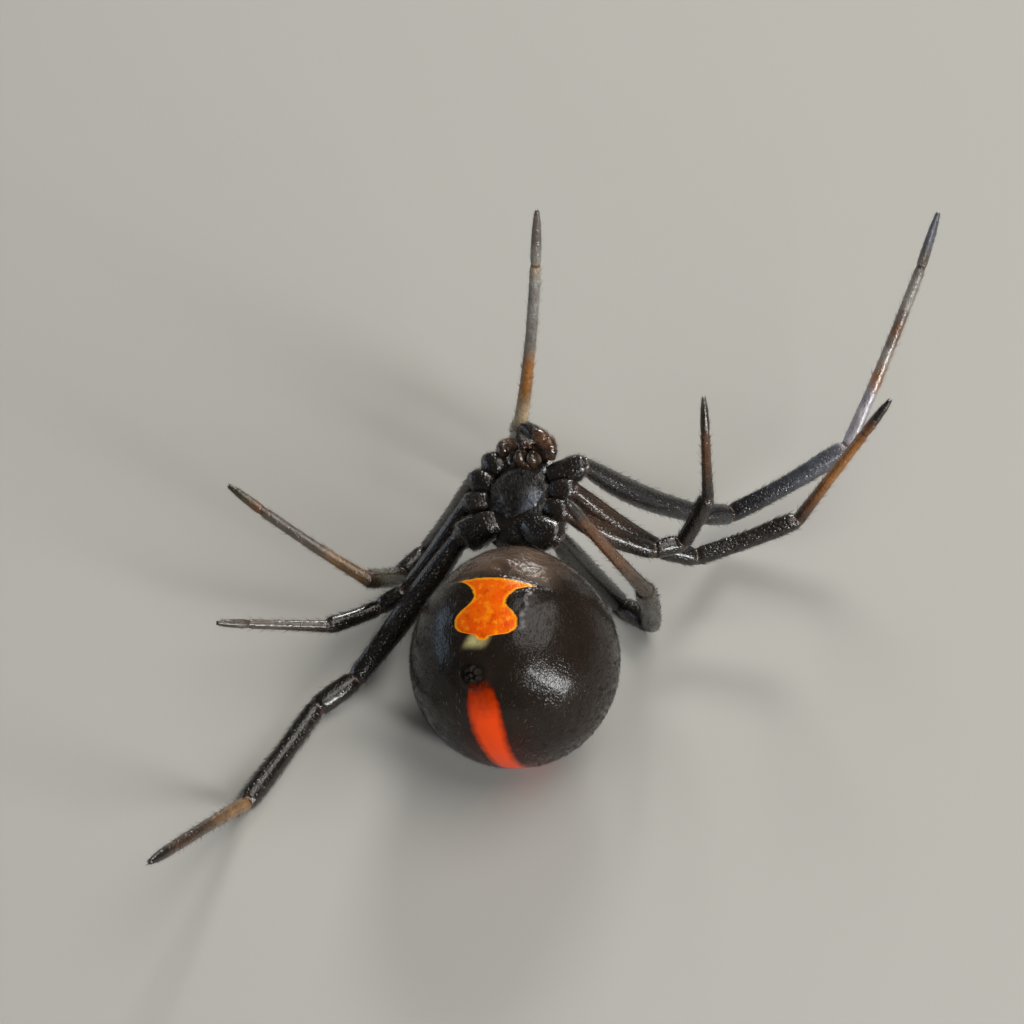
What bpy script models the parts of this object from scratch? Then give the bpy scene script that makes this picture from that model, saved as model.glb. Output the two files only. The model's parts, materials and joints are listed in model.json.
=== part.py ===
"""Redback spider: an adult female at life size, lying belly up with her feet in the air.

All sizes here are millimetres, and the last step scales every mesh to metres. +Z is up, +Y runs
from the spinnerets towards the head, and the floor is z = 0. The belly faces up, so the body's
left side is at +X. A body place is given as (forward, left, ventral) from that body's centre.
"""

import math
from typing import NamedTuple

import bmesh
import bpy
from mathutils import Matrix, Vector

METRES_PER_MM = 0.001
UP = Vector((0.0, 0.0, 1.0))
SIDES = {"left": 1, "right": -1}

# The gap between neighbours that meet
GAP = 0.3

# Abdomen: a near sphere, a little longer than wide, resting on its back
ABDOMEN_LENGTH = 7.3
ABDOMEN_WIDTH = 7.0
ABDOMEN_HEIGHT = 7.2
ABDOMEN_CENTRE = Vector((0.0, 0.0, 3.5))
ABDOMEN_ATTITUDE = (77.0, 7.0, 16.0)  # heading, pitch and roll in degrees
ABDOMEN_RINGS = 20
ABDOMEN_SEGMENTS = 34
DIMPLE_DEPTH = 0.35
DIMPLE_REACH = 0.42  # radians round the waist's direction
SWELL_ANGLE = -52.0  # degrees from the middle of the belly towards the rear, so this is in front
SWELL_HEIGHT = 0.22
SWELL_REACH = 0.42

# Waist: a short stalk from the abdomen's dimple to the carapace's rear face
WAIST_RADII = (0.36, 0.3, 0.27, 0.27)
WAIST_PLACE = (-1.62, 0.0, -0.52)

# Spinnerets: a middle cone in a ring of others, behind the belly's mark
SPINNERET_ANGLE = 43.0  # degrees from the middle of the belly towards the rear
SPINNERET_RADII = (0.2, 0.17, 0.08)
SPINNERET_LENGTH = 0.62
SPINNERET_SHORTER = (0.7, 0.86, 0.86)
SPINNERET_RING = 0.24
SPINNERET_COUNT = 6
SPINNERET_LEAN = 0.5

# Front body: the carapace lies below, the sternum above, and the legs leave between them
PROSOMA_CENTRE = Vector((0.27, 5.72, 4.9))
PROSOMA_ATTITUDE = (75.0, 21.0, 14.0)
CARAPACE_BACK = -1.62
CARAPACE_FRONT = 2.08
CARAPACE_WIDTH = 3.1
CARAPACE_DEPTH = 1.08
CARAPACE_RIM = -0.3
CARAPACE_BLUNT = 0.8
REAR_CUT = -0.9
HEAD_NARROWING = 0.3
FOVEA_DEPTH = 0.14
FOVEA_PLACE = -0.3
STERNUM_BACK = -0.78
STERNUM_FRONT = 0.98
STERNUM_WIDTH = 2.0
STERNUM_EDGE = 0.35
STERNUM_CREST = 0.9
STERNUM_BANDS = 11
STERNUM_ARC = 9
EYE_RADIUS = 0.13
EYE_ROWS = ((-0.5, (0.2, 0.56)), (-0.8, (0.2, 0.48)))  # height and offsets on the unit head

# Mouth: lip and plates in front of the sternum, then the jaws, with a feeler on each side
LIP_SIZE = (0.36, 0.5, 0.6)
LIP_PLACE = (1.24, 0.0, 0.5)
PLATE_SIZE = (0.5, 0.46, 0.74)
PLATE_PLACE = (1.4, 0.24, 0.55)
JAW_ROOT = (1.78, 0.3, 0.0)
JAW_TIP = (1.98, 0.27, 0.78)
JAW_RADII = (0.22, 0.28, 0.29, 0.26, 0.21, 0.1)
FANG_ROOT = (1.96, 0.26, 0.7)
FANG_TIP = (1.74, 0.12, 0.92)
FANG_RADII = (0.1, 0.08, 0.03)

# The left feeler lies across the jaws, and the right one is folded down beside them
PALP_PLACES = {
    "left": (
        (1.54, 0.86, 0.74),
        (1.84, 0.94, 1.04),
        (2.05, 0.62, 1.22),
        (2.24, 0.18, 1.26),
        (2.42, -0.26, 1.2),
    ),
    "right": (
        (1.54, -0.86, 0.74),
        (1.82, -1.02, 0.62),
        (2.02, -0.98, 0.35),
        (2.16, -0.86, 0.08),
        (2.3, -0.7, -0.12),
    ),
}
PALP_RADII = (0.2, 0.25, 0.26, 0.24, 0.13)

# Legs: lengths of the segments after the coxa, for pairs 1 to 4, with one leg a little shorter
SEGMENTS = ("femur", "patella", "tibia", "metatarsus", "tarsus")
LEG_LENGTHS = {
    1: (6.2, 1.6, 4.8, 6.8, 2.2),
    2: (4.3, 1.4, 3.8, 4.2, 1.6),
    3: (3.6, 1.1, 2.2, 2.8, 1.35),
    4: (6.0, 1.7, 4.6, 5.7, 1.75),
}
SHORTER_LEG = {("left", 4): 0.92}
LEG_STOUTNESS = {1: 1.0, 2: 0.94, 3: 0.86, 4: 1.04}
COXA_STOUTNESS = {1: 0.95, 2: 0.92, 3: 0.9, 4: 1.3}
LEG_FACETS = 10

# A segment's radius along its length, from the body outwards, and its bow as a share of its length
RADII = {
    "coxa": (0.26, 0.35, 0.39, 0.39, 0.35),
    "femur": (0.32, 0.41, 0.44, 0.42, 0.38, 0.35),
    "patella": (0.35, 0.38, 0.39, 0.36),
    "tibia": (0.34, 0.34, 0.33, 0.34, 0.37, 0.32),
    "metatarsus": (0.29, 0.27, 0.255, 0.25, 0.25),
    "tarsus": (0.25, 0.25, 0.22, 0.17, 0.08),
}
BOWS = {"femur": 0.035, "tibia": 0.02, "metatarsus": 0.02}

# Where each coxa leaves the sternum's side and where its femur begins (forward and outward)
COXA_ROOTS = {1: (1.0, 0.84), 2: (0.5, 1.06), 3: (-0.1, 1.06), 4: (-0.82, 0.5)}
FEMUR_ROOTS = {
    ("left", 1): (1.55, 2.0),
    ("left", 2): (0.6, 1.86),
    ("left", 3): (-0.25, 1.86),
    ("left", 4): (-1.2, 1.7),
    ("right", 1): (1.38, 1.46),
    ("right", 2): (0.62, 1.86),
    ("right", 3): (-0.35, 1.9),
    ("right", 4): (-1.55, 1.8),
}
COXA_LEVEL = 0.45
FEMUR_LEVEL = 0.3


class Pose(NamedTuple):
    """Heading and pitch of each segment in degrees: 0 heading is +X, and +90 pitch is straight up."""

    femur: tuple
    patella: tuple
    tibia: tuple
    metatarsus: tuple
    tarsus: tuple


POSES = {
    ("left", 1): Pose((22, -43), (40, -34), (20, 23), (59, 44), (68, 34)),
    ("left", 2): Pose((3, -46), (8, -24), (13, 16), (17, 59), (32, 48)),
    ("left", 3): Pose((5, -36), (20, 0), (20, 67), (122, 83), (95, 55)),
    ("left", 4): Pose((30, -61.4), (-50, 14), (-101, 64), (-146, 62), (-170, 62)),
    ("right", 1): Pose((80, -55.1), (74, 22), (-90, 57), (62, 81), (85, 77)),
    ("right", 2): Pose((168, -66), (-132, -6), (-112, 44), (157, 25), (150, 22)),
    ("right", 3): Pose((-139, -40), (-160, -24), (-145, 11), (-165, 19), (-158, 25)),
    ("right", 4): Pose((-137, -35), (-142, -10), (-119, -2), (-114, 34), (-117, 30)),
}

# Colour (linear red, green, blue) and roughness of each finish
FINISHES = {
    "abdomen": ((0.016, 0.011, 0.009), 0.22),
    "spinnerets": ((0.05, 0.03, 0.02), 0.4),
    "carapace": ((0.02, 0.015, 0.012), 0.25),
    "sternum": ((0.018, 0.014, 0.012), 0.35),
    "mouthparts": ((0.05, 0.028, 0.018), 0.3),
    "leg": ((0.012, 0.010, 0.009), 0.2),
    "metatarsus": ((0.16, 0.06, 0.02), 0.3),
    "tarsus": ((0.03, 0.02, 0.015), 0.35),
}


def clear_scene():
    for obj in list(bpy.data.objects):
        bpy.data.objects.remove(obj, do_unlink=True)


def direction(heading, pitch):
    """A unit vector from a heading and a pitch in degrees."""
    turn, rise = math.radians(heading), math.radians(pitch)
    return Vector(
        (math.cos(rise) * math.cos(turn), math.cos(rise) * math.sin(turn), math.sin(rise))
    )


def body_axes(attitude):
    """The forward, left and ventral unit vectors of a body part that lies belly up."""
    heading, pitch, roll = attitude
    forward = direction(heading, pitch)
    level = forward.cross(UP).normalized()
    up = level.cross(forward)
    turn = math.radians(roll)
    left = level * math.cos(turn) + up * math.sin(turn)
    ventral = up * math.cos(turn) - level * math.sin(turn)
    return forward, left, ventral


def body_matrix(centre, attitude):
    """Takes (forward, left, ventral) places to the world. It mirrors, so normals are set afterwards."""
    axes = Matrix(body_axes(attitude)).transposed().to_4x4()
    return Matrix.Translation(centre) @ axes


PROSOMA = body_matrix(PROSOMA_CENTRE, PROSOMA_ATTITUDE)


def mirrored(place, sign):
    """A place of the left side, or the same place on the right side."""
    forward, left, ventral = place
    return Vector((forward, sign * left, ventral))


def smooth_step(low, high, value):
    share = min(max((value - low) / (high - low), 0.0), 1.0)
    return share * share * (3 - 2 * share)


def material(name):
    """One Principled material for each finish."""
    found = bpy.data.materials.get(name)
    if found:
        return found
    colour, roughness = FINISHES[name]
    made = bpy.data.materials.new(name)
    made.use_nodes = True
    shader = made.node_tree.nodes["Principled BSDF"]
    shader.inputs["Base Color"].default_value = (*colour, 1.0)
    shader.inputs["Roughness"].default_value = roughness
    shader.inputs["Metallic"].default_value = 0.0
    return made


def add_object(name, mesh_data, finish):
    """Turns a bmesh into an object of the scene, faces outwards."""
    bmesh.ops.recalc_face_normals(mesh_data, faces=mesh_data.faces)
    mesh = bpy.data.meshes.new(name)
    mesh_data.to_mesh(mesh)
    mesh_data.free()
    mesh.materials.append(material(finish))
    mesh.shade_smooth()
    obj = bpy.data.objects.new(name, mesh)
    bpy.context.scene.collection.objects.link(obj)
    return obj


def cut_flat(mesh_data, place, normal):
    """Cuts away what lies beyond a plane and closes the cut with one flat face."""
    cut = bmesh.ops.bisect_plane(
        mesh_data,
        geom=mesh_data.verts[:] + mesh_data.edges[:] + mesh_data.faces[:],
        plane_co=place,
        plane_no=normal,
        clear_outer=True,
    )
    rim = [item for item in cut["geom_cut"] if isinstance(item, bmesh.types.BMEdge)]
    bmesh.ops.contextual_create(mesh_data, geom=rim)


def rest_on_floor(mesh_data):
    """Cuts off what would reach below the floor, which leaves a small flat to rest on."""
    if min(vertex.co.z for vertex in mesh_data.verts) < 0:
        cut_flat(mesh_data, (0, 0, 0), (0, 0, -1))


def circle(centre, axis, radius, facets):
    """Points round an axis."""
    across = axis.cross(UP).normalized()
    aside = axis.cross(across)
    turns = (2 * math.pi * (k + 0.5) / facets for k in range(facets))
    return [centre + (across * math.cos(a) + aside * math.sin(a)) * radius for a in turns]


def skin_rings(rings):
    """A closed mesh through rings that have the same number of points."""
    mesh_data = bmesh.new()
    rows = [[mesh_data.verts.new(point) for point in ring] for ring in rings]
    count = len(rows[0])
    for near, far in zip(rows[:-1], rows[1:]):
        for k in range(count):
            after = (k + 1) % count
            mesh_data.faces.new((near[k], near[after], far[after], far[k]))
    mesh_data.faces.new(rows[0][::-1])
    mesh_data.faces.new(rows[-1])
    return mesh_data


def tube(start, end, before, after, radii, facets=LEG_FACETS, gap=0.0, bow=Vector()):
    """A tube whose ends lie on the planes that halve its bends, each set back by half the gap.

    before and after are the axes of its neighbours, so that two neighbours' ends face each other.
    bow is how far its middle stands off the straight line.
    """
    axis = (end - start).normalized()
    length = (end - start).length
    first = (before + axis).normalized()
    last = (axis + after).normalized()
    lines = []
    for out in circle(Vector(), axis, 1.0, facets):
        low = (gap / 2 - radii[0] * out.dot(first)) / axis.dot(first)
        high = length - (gap / 2 + radii[-1] * out.dot(last)) / axis.dot(last)
        lines.append((out, low, high))
    rings = []
    for i, radius in enumerate(radii):
        share = i / (len(radii) - 1)
        middle = start + bow * math.sin(math.pi * share)
        rings.append(
            [middle + axis * (low + (high - low) * share) + out * radius for out, low, high in lines]
        )
    return skin_rings(rings)


def ball(size, place, segments=12, rings=8):
    """An ellipsoid of the front body with the given full sizes, at a body place."""
    mesh_data = bmesh.new()
    bmesh.ops.create_uvsphere(mesh_data, u_segments=segments, v_segments=rings, radius=0.5)
    bmesh.ops.scale(mesh_data, vec=Vector(size), verts=mesh_data.verts)
    bmesh.ops.translate(mesh_data, vec=Vector(place), verts=mesh_data.verts)
    mesh_data.transform(PROSOMA)
    return mesh_data


def largest_surface(mesh_data):
    """Keeps only the largest connected surface."""
    left = set(mesh_data.verts)
    groups = []
    while left:
        group = set()
        reached = [left.pop()]
        while reached:
            vertex = reached.pop()
            group.add(vertex)
            for edge in vertex.link_edges:
                other = edge.other_vert(vertex)
                if other in left:
                    left.remove(other)
                    reached.append(other)
        groups.append(group)
    groups.sort(key=len)
    for group in groups[:-1]:
        bmesh.ops.delete(mesh_data, geom=list(group), context="VERTS")


def fuse(base, pieces):
    """Joins closed pieces to the base by one union and removes them."""
    helpers = bpy.data.collections.new("pieces_of_" + base.name)
    bpy.context.scene.collection.children.link(helpers)
    for piece in pieces:
        bpy.context.scene.collection.objects.unlink(piece)
        helpers.objects.link(piece)
    union = base.modifiers.new("union", "BOOLEAN")
    union.operation = "UNION"
    union.solver = "EXACT"
    union.operand_type = "COLLECTION"
    union.collection = helpers
    bpy.context.view_layer.update()
    graph = bpy.context.evaluated_depsgraph_get()
    joined = bmesh.new()
    joined.from_object(base, graph)
    base.modifiers.remove(union)
    largest_surface(joined)
    bmesh.ops.triangulate(joined, faces=joined.faces)
    joined.to_mesh(base.data)
    joined.free()
    for piece in pieces:
        bpy.data.objects.remove(piece, do_unlink=True)
    bpy.data.collections.remove(helpers)


def waist_direction():
    """From the abdomen's centre to the waist's front end."""
    return (PROSOMA @ Vector(WAIST_PLACE) - ABDOMEN_CENTRE).normalized()


def belly_direction(rear_angle):
    """From the abdomen's centre to its middle line, that many degrees behind the belly's middle."""
    forward, _, ventral = body_axes(ABDOMEN_ATTITUDE)
    turn = math.radians(rear_angle)
    return ventral * math.cos(turn) - forward * math.sin(turn)


def abdomen_point(out):
    """The abdomen's surface along a world direction from its centre."""
    halves = (ABDOMEN_LENGTH / 2, ABDOMEN_WIDTH / 2, ABDOMEN_HEIGHT / 2)
    shares = (out.dot(axis) / half for axis, half in zip(body_axes(ABDOMEN_ATTITUDE), halves))
    reach = 1 / math.sqrt(sum(share * share for share in shares))
    from_waist = out.angle(waist_direction()) / DIMPLE_REACH
    reach -= DIMPLE_DEPTH * math.exp(-from_waist * from_waist)
    from_swell = out.angle(belly_direction(SWELL_ANGLE)) / SWELL_REACH
    reach += SWELL_HEIGHT * math.exp(-from_swell * from_swell)
    return ABDOMEN_CENTRE + out * reach


def make_abdomen():
    mesh_data = bmesh.new()
    bmesh.ops.create_uvsphere(
        mesh_data, u_segments=ABDOMEN_SEGMENTS, v_segments=ABDOMEN_RINGS, radius=1.0
    )
    for vertex in mesh_data.verts:
        vertex.co = abdomen_point(vertex.co.normalized())
    rest_on_floor(mesh_data)
    add_object("abdomen", mesh_data, "abdomen")


def make_spinnerets():
    """A cluster of cones on the rear of the belly, fused at their roots."""
    out = belly_direction(SPINNERET_ANGLE)
    root = abdomen_point(out) + out * (GAP / 2)
    roots = [root] + circle(root, out, SPINNERET_RING, SPINNERET_COUNT)
    cones = []
    for k, start in enumerate(roots):
        tall = SPINNERET_LENGTH
        if k:
            tall *= SPINNERET_SHORTER[k % len(SPINNERET_SHORTER)]
        lean = (out - (start - root) * SPINNERET_LEAN).normalized()
        cone = tube(start, start + lean * tall, out, lean, SPINNERET_RADII, facets=8)
        cones.append(add_object(f"cone_{k}", cone, "spinnerets"))
    cones[0].name = "spinnerets"
    fuse(cones[0], cones[1:])


def make_pedicel():
    """The waist, between the dimple in the abdomen and the carapace's rear face."""
    out = waist_direction()
    start = abdomen_point(out)
    end = PROSOMA @ Vector(WAIST_PLACE)
    forward = body_axes(PROSOMA_ATTITUDE)[0]
    mesh_data = tube(start, end, out, forward * 2 - out, WAIST_RADII, gap=GAP)
    add_object("pedicel", mesh_data, "sternum")


def carapace_point(along, aside, height):
    """Shapes a point of the unit half ball into the carapace, in body places."""
    head = smooth_step(0.1, 0.75, along)
    middle = (CARAPACE_FRONT + CARAPACE_BACK) / 2
    blunt = math.copysign(abs(along) ** CARAPACE_BLUNT, along)
    width = CARAPACE_WIDTH / 2 * (1 - HEAD_NARROWING * head)
    depth = CARAPACE_DEPTH * (0.85 + 0.15 * head)
    steep = math.copysign(abs(height) ** CARAPACE_BLUNT, height)
    dent = FOVEA_DEPTH * math.exp(-(((along - FOVEA_PLACE) / 0.2) ** 2) - (aside / 0.3) ** 2)
    return (
        middle + blunt * (CARAPACE_FRONT - CARAPACE_BACK) / 2,
        aside * width,
        CARAPACE_RIM + steep * depth + dent * smooth_step(0.4, 0.8, -height),
    )


def make_carapace():
    """A low shell with a raised, narrower head, flat underneath and behind, and its eight eyes."""
    mesh_data = bmesh.new()
    bmesh.ops.create_uvsphere(mesh_data, u_segments=28, v_segments=16, radius=1.0)
    bmesh.ops.rotate(
        mesh_data, matrix=Matrix.Rotation(math.pi / 2, 3, "Y"), verts=mesh_data.verts
    )
    cut_flat(mesh_data, (0, 0, 0), (0, 0, 1))
    cut_flat(mesh_data, (REAR_CUT, 0, 0), (-1, 0, 0))
    for vertex in mesh_data.verts:
        vertex.co = carapace_point(*vertex.co)
    mesh_data.transform(PROSOMA)
    fuse(add_object("carapace", mesh_data, "carapace"), make_eyes())


def make_eyes():
    """Two rows of four eyes across the front of the head, each half sunk in it."""
    eyes = []
    for height, offsets in EYE_ROWS:
        for offset in offsets:
            for sign in SIDES.values():
                along = math.sqrt(1 - height * height - offset * offset)
                place = carapace_point(along, sign * offset, height)
                eye = ball((EYE_RADIUS * 2,) * 3, place, segments=8, rings=6)
                eyes.append(add_object(f"eye_{len(eyes)}", eye, "carapace"))
    return eyes


def sternum_half_width(share):
    """The sternum is a shield: broad in front of its middle, pointed behind."""
    return STERNUM_WIDTH / 2 * math.sin(math.pi * share**1.25) ** 0.6


def make_sternum():
    """Bands across the shield, each a low dome over a narrower flat base."""
    rings = []
    for i in range(1, STERNUM_BANDS):
        share = (1 - math.cos(math.pi * i / STERNUM_BANDS)) / 2
        along = STERNUM_BACK + (STERNUM_FRONT - STERNUM_BACK) * share
        half = sternum_half_width(share)
        rise = STERNUM_CREST * (0.75 + 0.25 * math.sin(math.pi * share)) - STERNUM_EDGE
        ring = []
        for k in range(STERNUM_ARC):
            angle = math.pi * k / (STERNUM_ARC - 1)
            ring.append((along, -half * math.cos(angle), STERNUM_EDGE + rise * math.sin(angle)))
        ring.append((along, half * 0.9, 0.0))
        ring.append((along, -half * 0.9, 0.0))
        rings.append([PROSOMA @ Vector(place) for place in ring])
    add_object("sternum", skin_rings(rings), "sternum")


def make_mouthparts():
    """The lip and the two mouth plates in front of the sternum."""
    lip = add_object("mouthparts", ball(LIP_SIZE, LIP_PLACE), "mouthparts")
    plates = []
    for side, sign in SIDES.items():
        plate = ball(PLATE_SIZE, mirrored(PLATE_PLACE, sign))
        plates.append(add_object("plate_" + side, plate, "mouthparts"))
    fuse(lip, plates)


def body_tube(root, tip, sign, radii, facets=LEG_FACETS):
    """A straight tube between two places of the front body."""
    start, end = PROSOMA @ mirrored(root, sign), PROSOMA @ mirrored(tip, sign)
    axis = (end - start).normalized()
    return tube(start, end, axis, axis, radii, facets=facets)


def make_jaw(side, sign):
    """A jaw under the front of the head, with its short fang folded inwards."""
    jaw = add_object(
        "chelicera_" + side, body_tube(JAW_ROOT, JAW_TIP, sign, JAW_RADII), "mouthparts"
    )
    fang = body_tube(FANG_ROOT, FANG_TIP, sign, FANG_RADII, facets=8)
    fuse(jaw, [add_object("fang_" + side, fang, "mouthparts")])


def make_palp(side):
    """A feeler beside the jaws, round one smooth bend."""
    places = [PROSOMA @ Vector(place) for place in PALP_PLACES[side]]
    rings = []
    for i, (place, radius) in enumerate(zip(places, PALP_RADII)):
        before = places[max(i - 1, 0)]
        after = places[min(i + 1, len(places) - 1)]
        rings.append(circle(place, (after - before).normalized(), radius, LEG_FACETS))
    add_object("palp_" + side, skin_rings(rings), "mouthparts")


def leg_joints(side, pair):
    """The points where the coxa and each segment after it begin, and the foot's tip."""
    sign = SIDES[side]
    root_along, root_out = COXA_ROOTS[pair]
    femur_along, femur_out = FEMUR_ROOTS[side, pair]
    joints = [
        PROSOMA @ Vector((root_along, sign * root_out, COXA_LEVEL)),
        PROSOMA @ Vector((femur_along, sign * femur_out, FEMUR_LEVEL)),
    ]
    scale = SHORTER_LEG.get((side, pair), 1.0)
    for heading_pitch, length in zip(POSES[side, pair], LEG_LENGTHS[pair]):
        joints.append(joints[-1] + direction(*heading_pitch) * length * scale)
    return joints


def make_leg(side, pair):
    """A coxa and the five segments after it, each cut at the planes that halve its bends."""
    joints = leg_joints(side, pair)
    axes = [(far - near).normalized() for near, far in zip(joints[:-1], joints[1:])]
    for i, part in enumerate(("coxa",) + SEGMENTS):
        before = axes[max(i - 1, 0)]
        after = axes[min(i + 1, len(axes) - 1)]
        stout = COXA_STOUTNESS[pair] if part == "coxa" else LEG_STOUTNESS[pair]
        radii = [radius * stout for radius in RADII[part]]
        to_foot = joints[-1] - joints[i]
        knee_side = (axes[i] * to_foot.dot(axes[i]) - to_foot).normalized()
        bow = knee_side * (BOWS.get(part, 0.0) * (joints[i + 1] - joints[i]).length)
        mesh_data = tube(joints[i], joints[i + 1], before, after, radii, gap=GAP, bow=bow)
        rest_on_floor(mesh_data)
        finish = part if part in ("metatarsus", "tarsus") else "leg"
        add_object(f"leg_{side}_{pair}_{part}", mesh_data, finish)


def stand_at_origin():
    """Centres the whole part's box on the origin and scales it to metres."""
    objects = [obj for obj in bpy.data.objects if obj.type == "MESH"]
    corners = [vertex.co for obj in objects for vertex in obj.data.vertices]
    low_x, high_x = min(c.x for c in corners), max(c.x for c in corners)
    low_y, high_y = min(c.y for c in corners), max(c.y for c in corners)
    shift = Vector((-(low_x + high_x) / 2, -(low_y + high_y) / 2, 0.0))
    matrix = Matrix.Scale(METRES_PER_MM, 4) @ Matrix.Translation(shift)
    for obj in objects:
        obj.data.transform(matrix)


def main():
    clear_scene()
    make_abdomen()
    make_spinnerets()
    make_pedicel()
    make_carapace()
    make_sternum()
    make_mouthparts()
    for side, sign in SIDES.items():
        make_jaw(side, sign)
        make_palp(side)
        for pair in LEG_LENGTHS:
            make_leg(side, pair)
    stand_at_origin()


main()
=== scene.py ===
"""The dressed redback spider: shell, skin, coat, eyes and claws, on a plain floor in soft light.

Lengths are millimetres in the spider's own frame, where the middle of the abdomen stands above the
origin, unless a name says otherwise. Each finished mesh is moved to the model's place and scaled to
metres. A body place is (forward, left, ventral), and the belly faces up.
"""

import json
import logging
import math
from dataclasses import dataclass, field
from enum import Enum

import bpy
import numpy as np
from mathutils import Matrix, Vector

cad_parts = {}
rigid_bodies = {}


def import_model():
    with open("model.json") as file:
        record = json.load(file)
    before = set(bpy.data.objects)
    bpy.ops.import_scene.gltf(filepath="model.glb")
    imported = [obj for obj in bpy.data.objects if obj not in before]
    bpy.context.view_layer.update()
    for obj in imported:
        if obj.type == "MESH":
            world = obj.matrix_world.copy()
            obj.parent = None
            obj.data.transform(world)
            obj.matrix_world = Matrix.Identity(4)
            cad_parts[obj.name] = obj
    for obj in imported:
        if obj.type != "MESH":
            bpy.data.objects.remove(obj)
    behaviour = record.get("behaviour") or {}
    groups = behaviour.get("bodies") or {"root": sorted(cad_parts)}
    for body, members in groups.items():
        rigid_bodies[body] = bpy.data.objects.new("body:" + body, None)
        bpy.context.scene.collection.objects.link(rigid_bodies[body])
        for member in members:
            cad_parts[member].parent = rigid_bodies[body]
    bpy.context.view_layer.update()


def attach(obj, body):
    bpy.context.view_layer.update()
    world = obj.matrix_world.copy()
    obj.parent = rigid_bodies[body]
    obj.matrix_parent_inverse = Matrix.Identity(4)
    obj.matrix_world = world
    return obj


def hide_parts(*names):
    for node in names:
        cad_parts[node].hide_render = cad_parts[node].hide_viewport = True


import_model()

LOG = logging.getLogger("redback")
METRES_PER_MM = 0.001
BODY = "root"

# From the spider's own frame to the model's, and how far the skin lies inside the solids
MODEL_SHIFT = np.array((-1.68136, -3.54201, 0.0))
SKIN_SHARE = 0.97
UP = np.array((0.0, 0.0, 1.0))


class Side(Enum):
    """The spider's own sides. As it lies belly up, its left is towards +X."""

    LEFT = 1
    RIGHT = -1


class Segment(Enum):
    """The parts of a leg from the body outwards, with each one's place in that order."""

    COXA = 0
    FEMUR = 1
    PATELLA = 2
    TIBIA = 3
    METATARSUS = 4
    TARSUS = 5


class Shade(Enum):
    """Colours of cuticle and hair in linear red, green and blue."""

    JET = (0.0105, 0.0076, 0.0055)
    INK = (0.012, 0.0125, 0.016)
    SOOT = (0.015, 0.01, 0.0072)
    UMBER = (0.042, 0.022, 0.011)
    CHESTNUT = (0.12, 0.048, 0.016)
    OCHRE = (0.21, 0.115, 0.045)
    OLIVE = (0.1, 0.085, 0.045)
    AMBER = (0.3, 0.125, 0.03)
    TAN = (0.42, 0.32, 0.19)
    SMOKE = (0.12, 0.1, 0.08)
    ASH = (0.24, 0.225, 0.2)
    SLATE = (0.09, 0.095, 0.115)
    # A lilac used as painted sheen: a highlight line on the abdomen and a reflection on a front leg.
    SHEEN_LILAC = (0.34, 0.32, 0.35)
    MEMBRANE = (0.06, 0.03, 0.018)
    SMOKED_TAN = (0.16, 0.105, 0.072)
    WINE = (0.045, 0.006, 0.003)
    ORANGE = (0.8, 0.14, 0.0015)
    YELLOW = (1.0, 0.42, 0.01)
    FLAME = (0.76, 0.08, 0.0015)
    RED = (0.77, 0.057, 0.001)
    STRAW = (0.5, 0.45, 0.2)
    # A bluish grey painted as the sky's reflection on the sternum's flank.
    MIST = (0.2, 0.23, 0.28)
    SILVER = (0.34, 0.32, 0.31)


def smooth_step(low: float, high: float, value: np.ndarray) -> np.ndarray:
    """A smooth rise from 0 to 1.

    Args:
        low: where it leaves 0.
        high: where it reaches 1.
        value: the values to look up.

    Returns:
        The share for each value.
    """
    share = np.clip((value - low) / (high - low), 0.0, 1.0)
    return share * share * (3 - 2 * share)


def hump(distance: np.ndarray) -> np.ndarray:
    """A bell curve of a distance that is already a share of its width."""
    return np.exp(-distance * distance)


def smooth_curve(
    places: np.ndarray, stops: tuple[float, ...], values: tuple[float, ...]
) -> np.ndarray:
    """Looks up a smooth curve that passes through given values.

    Args:
        places: where to look it up.
        stops: the places of the given values, in order.
        values: the values there.

    Returns:
        The curve's value at each place, and the end values beyond the ends.
    """
    stops, values = np.array(stops, float), np.array(values, float)
    slopes = np.gradient(values, stops)
    inside = np.clip(places, stops[0], stops[-1])
    left = np.clip(np.searchsorted(stops, inside) - 1, 0, len(stops) - 2)
    span = stops[left + 1] - stops[left]
    share = (inside - stops[left]) / span
    rise = share * share * (3 - 2 * share)
    start = values[left] * (1 - rise) + values[left + 1] * rise
    pull = slopes[left] * (1 - share) - slopes[left + 1] * share
    return start + span * share * (1 - share) * pull


def unit(vectors: np.ndarray) -> np.ndarray:
    """The same directions at length 1."""
    return vectors / np.maximum(np.linalg.norm(vectors, axis=-1, keepdims=True), 1e-12)


def direction(heading: float, pitch: float) -> np.ndarray:
    """A unit vector from a heading and a pitch in degrees."""
    turn, rise = math.radians(heading), math.radians(pitch)
    return np.array(
        (math.cos(rise) * math.cos(turn), math.cos(rise) * math.sin(turn), math.sin(rise))
    )


def blend(first: np.ndarray, second: np.ndarray, share: np.ndarray) -> np.ndarray:
    """Mixes two colours or rows of colours by a share for each row."""
    return first + (second - first) * np.asarray(share)[..., None]


@dataclass(frozen=True)
class BodyFrame:
    """Where a part of the body lies: its centre, and its heading, pitch and roll in degrees."""

    centre: tuple[float, float, float]
    heading: float
    pitch: float
    roll: float

    def axes(self) -> np.ndarray:
        """The forward, left and ventral unit vectors, as rows."""
        forward = direction(self.heading, self.pitch)
        level = unit(np.cross(forward, UP))
        up = np.cross(level, forward)
        turn = math.radians(self.roll)
        left = level * math.cos(turn) + up * math.sin(turn)
        ventral = up * math.cos(turn) - level * math.sin(turn)
        return np.array((forward, left, ventral))

    def place(self, places: np.ndarray) -> np.ndarray:
        """Takes body places, one a row, to the spider's frame."""
        return np.asarray(places, float) @ self.axes() + np.array(self.centre)

    def turn(self, vectors: np.ndarray) -> np.ndarray:
        """Takes directions given as (forward, left, ventral) to the spider's frame."""
        return np.asarray(vectors, float) @ self.axes()


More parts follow.
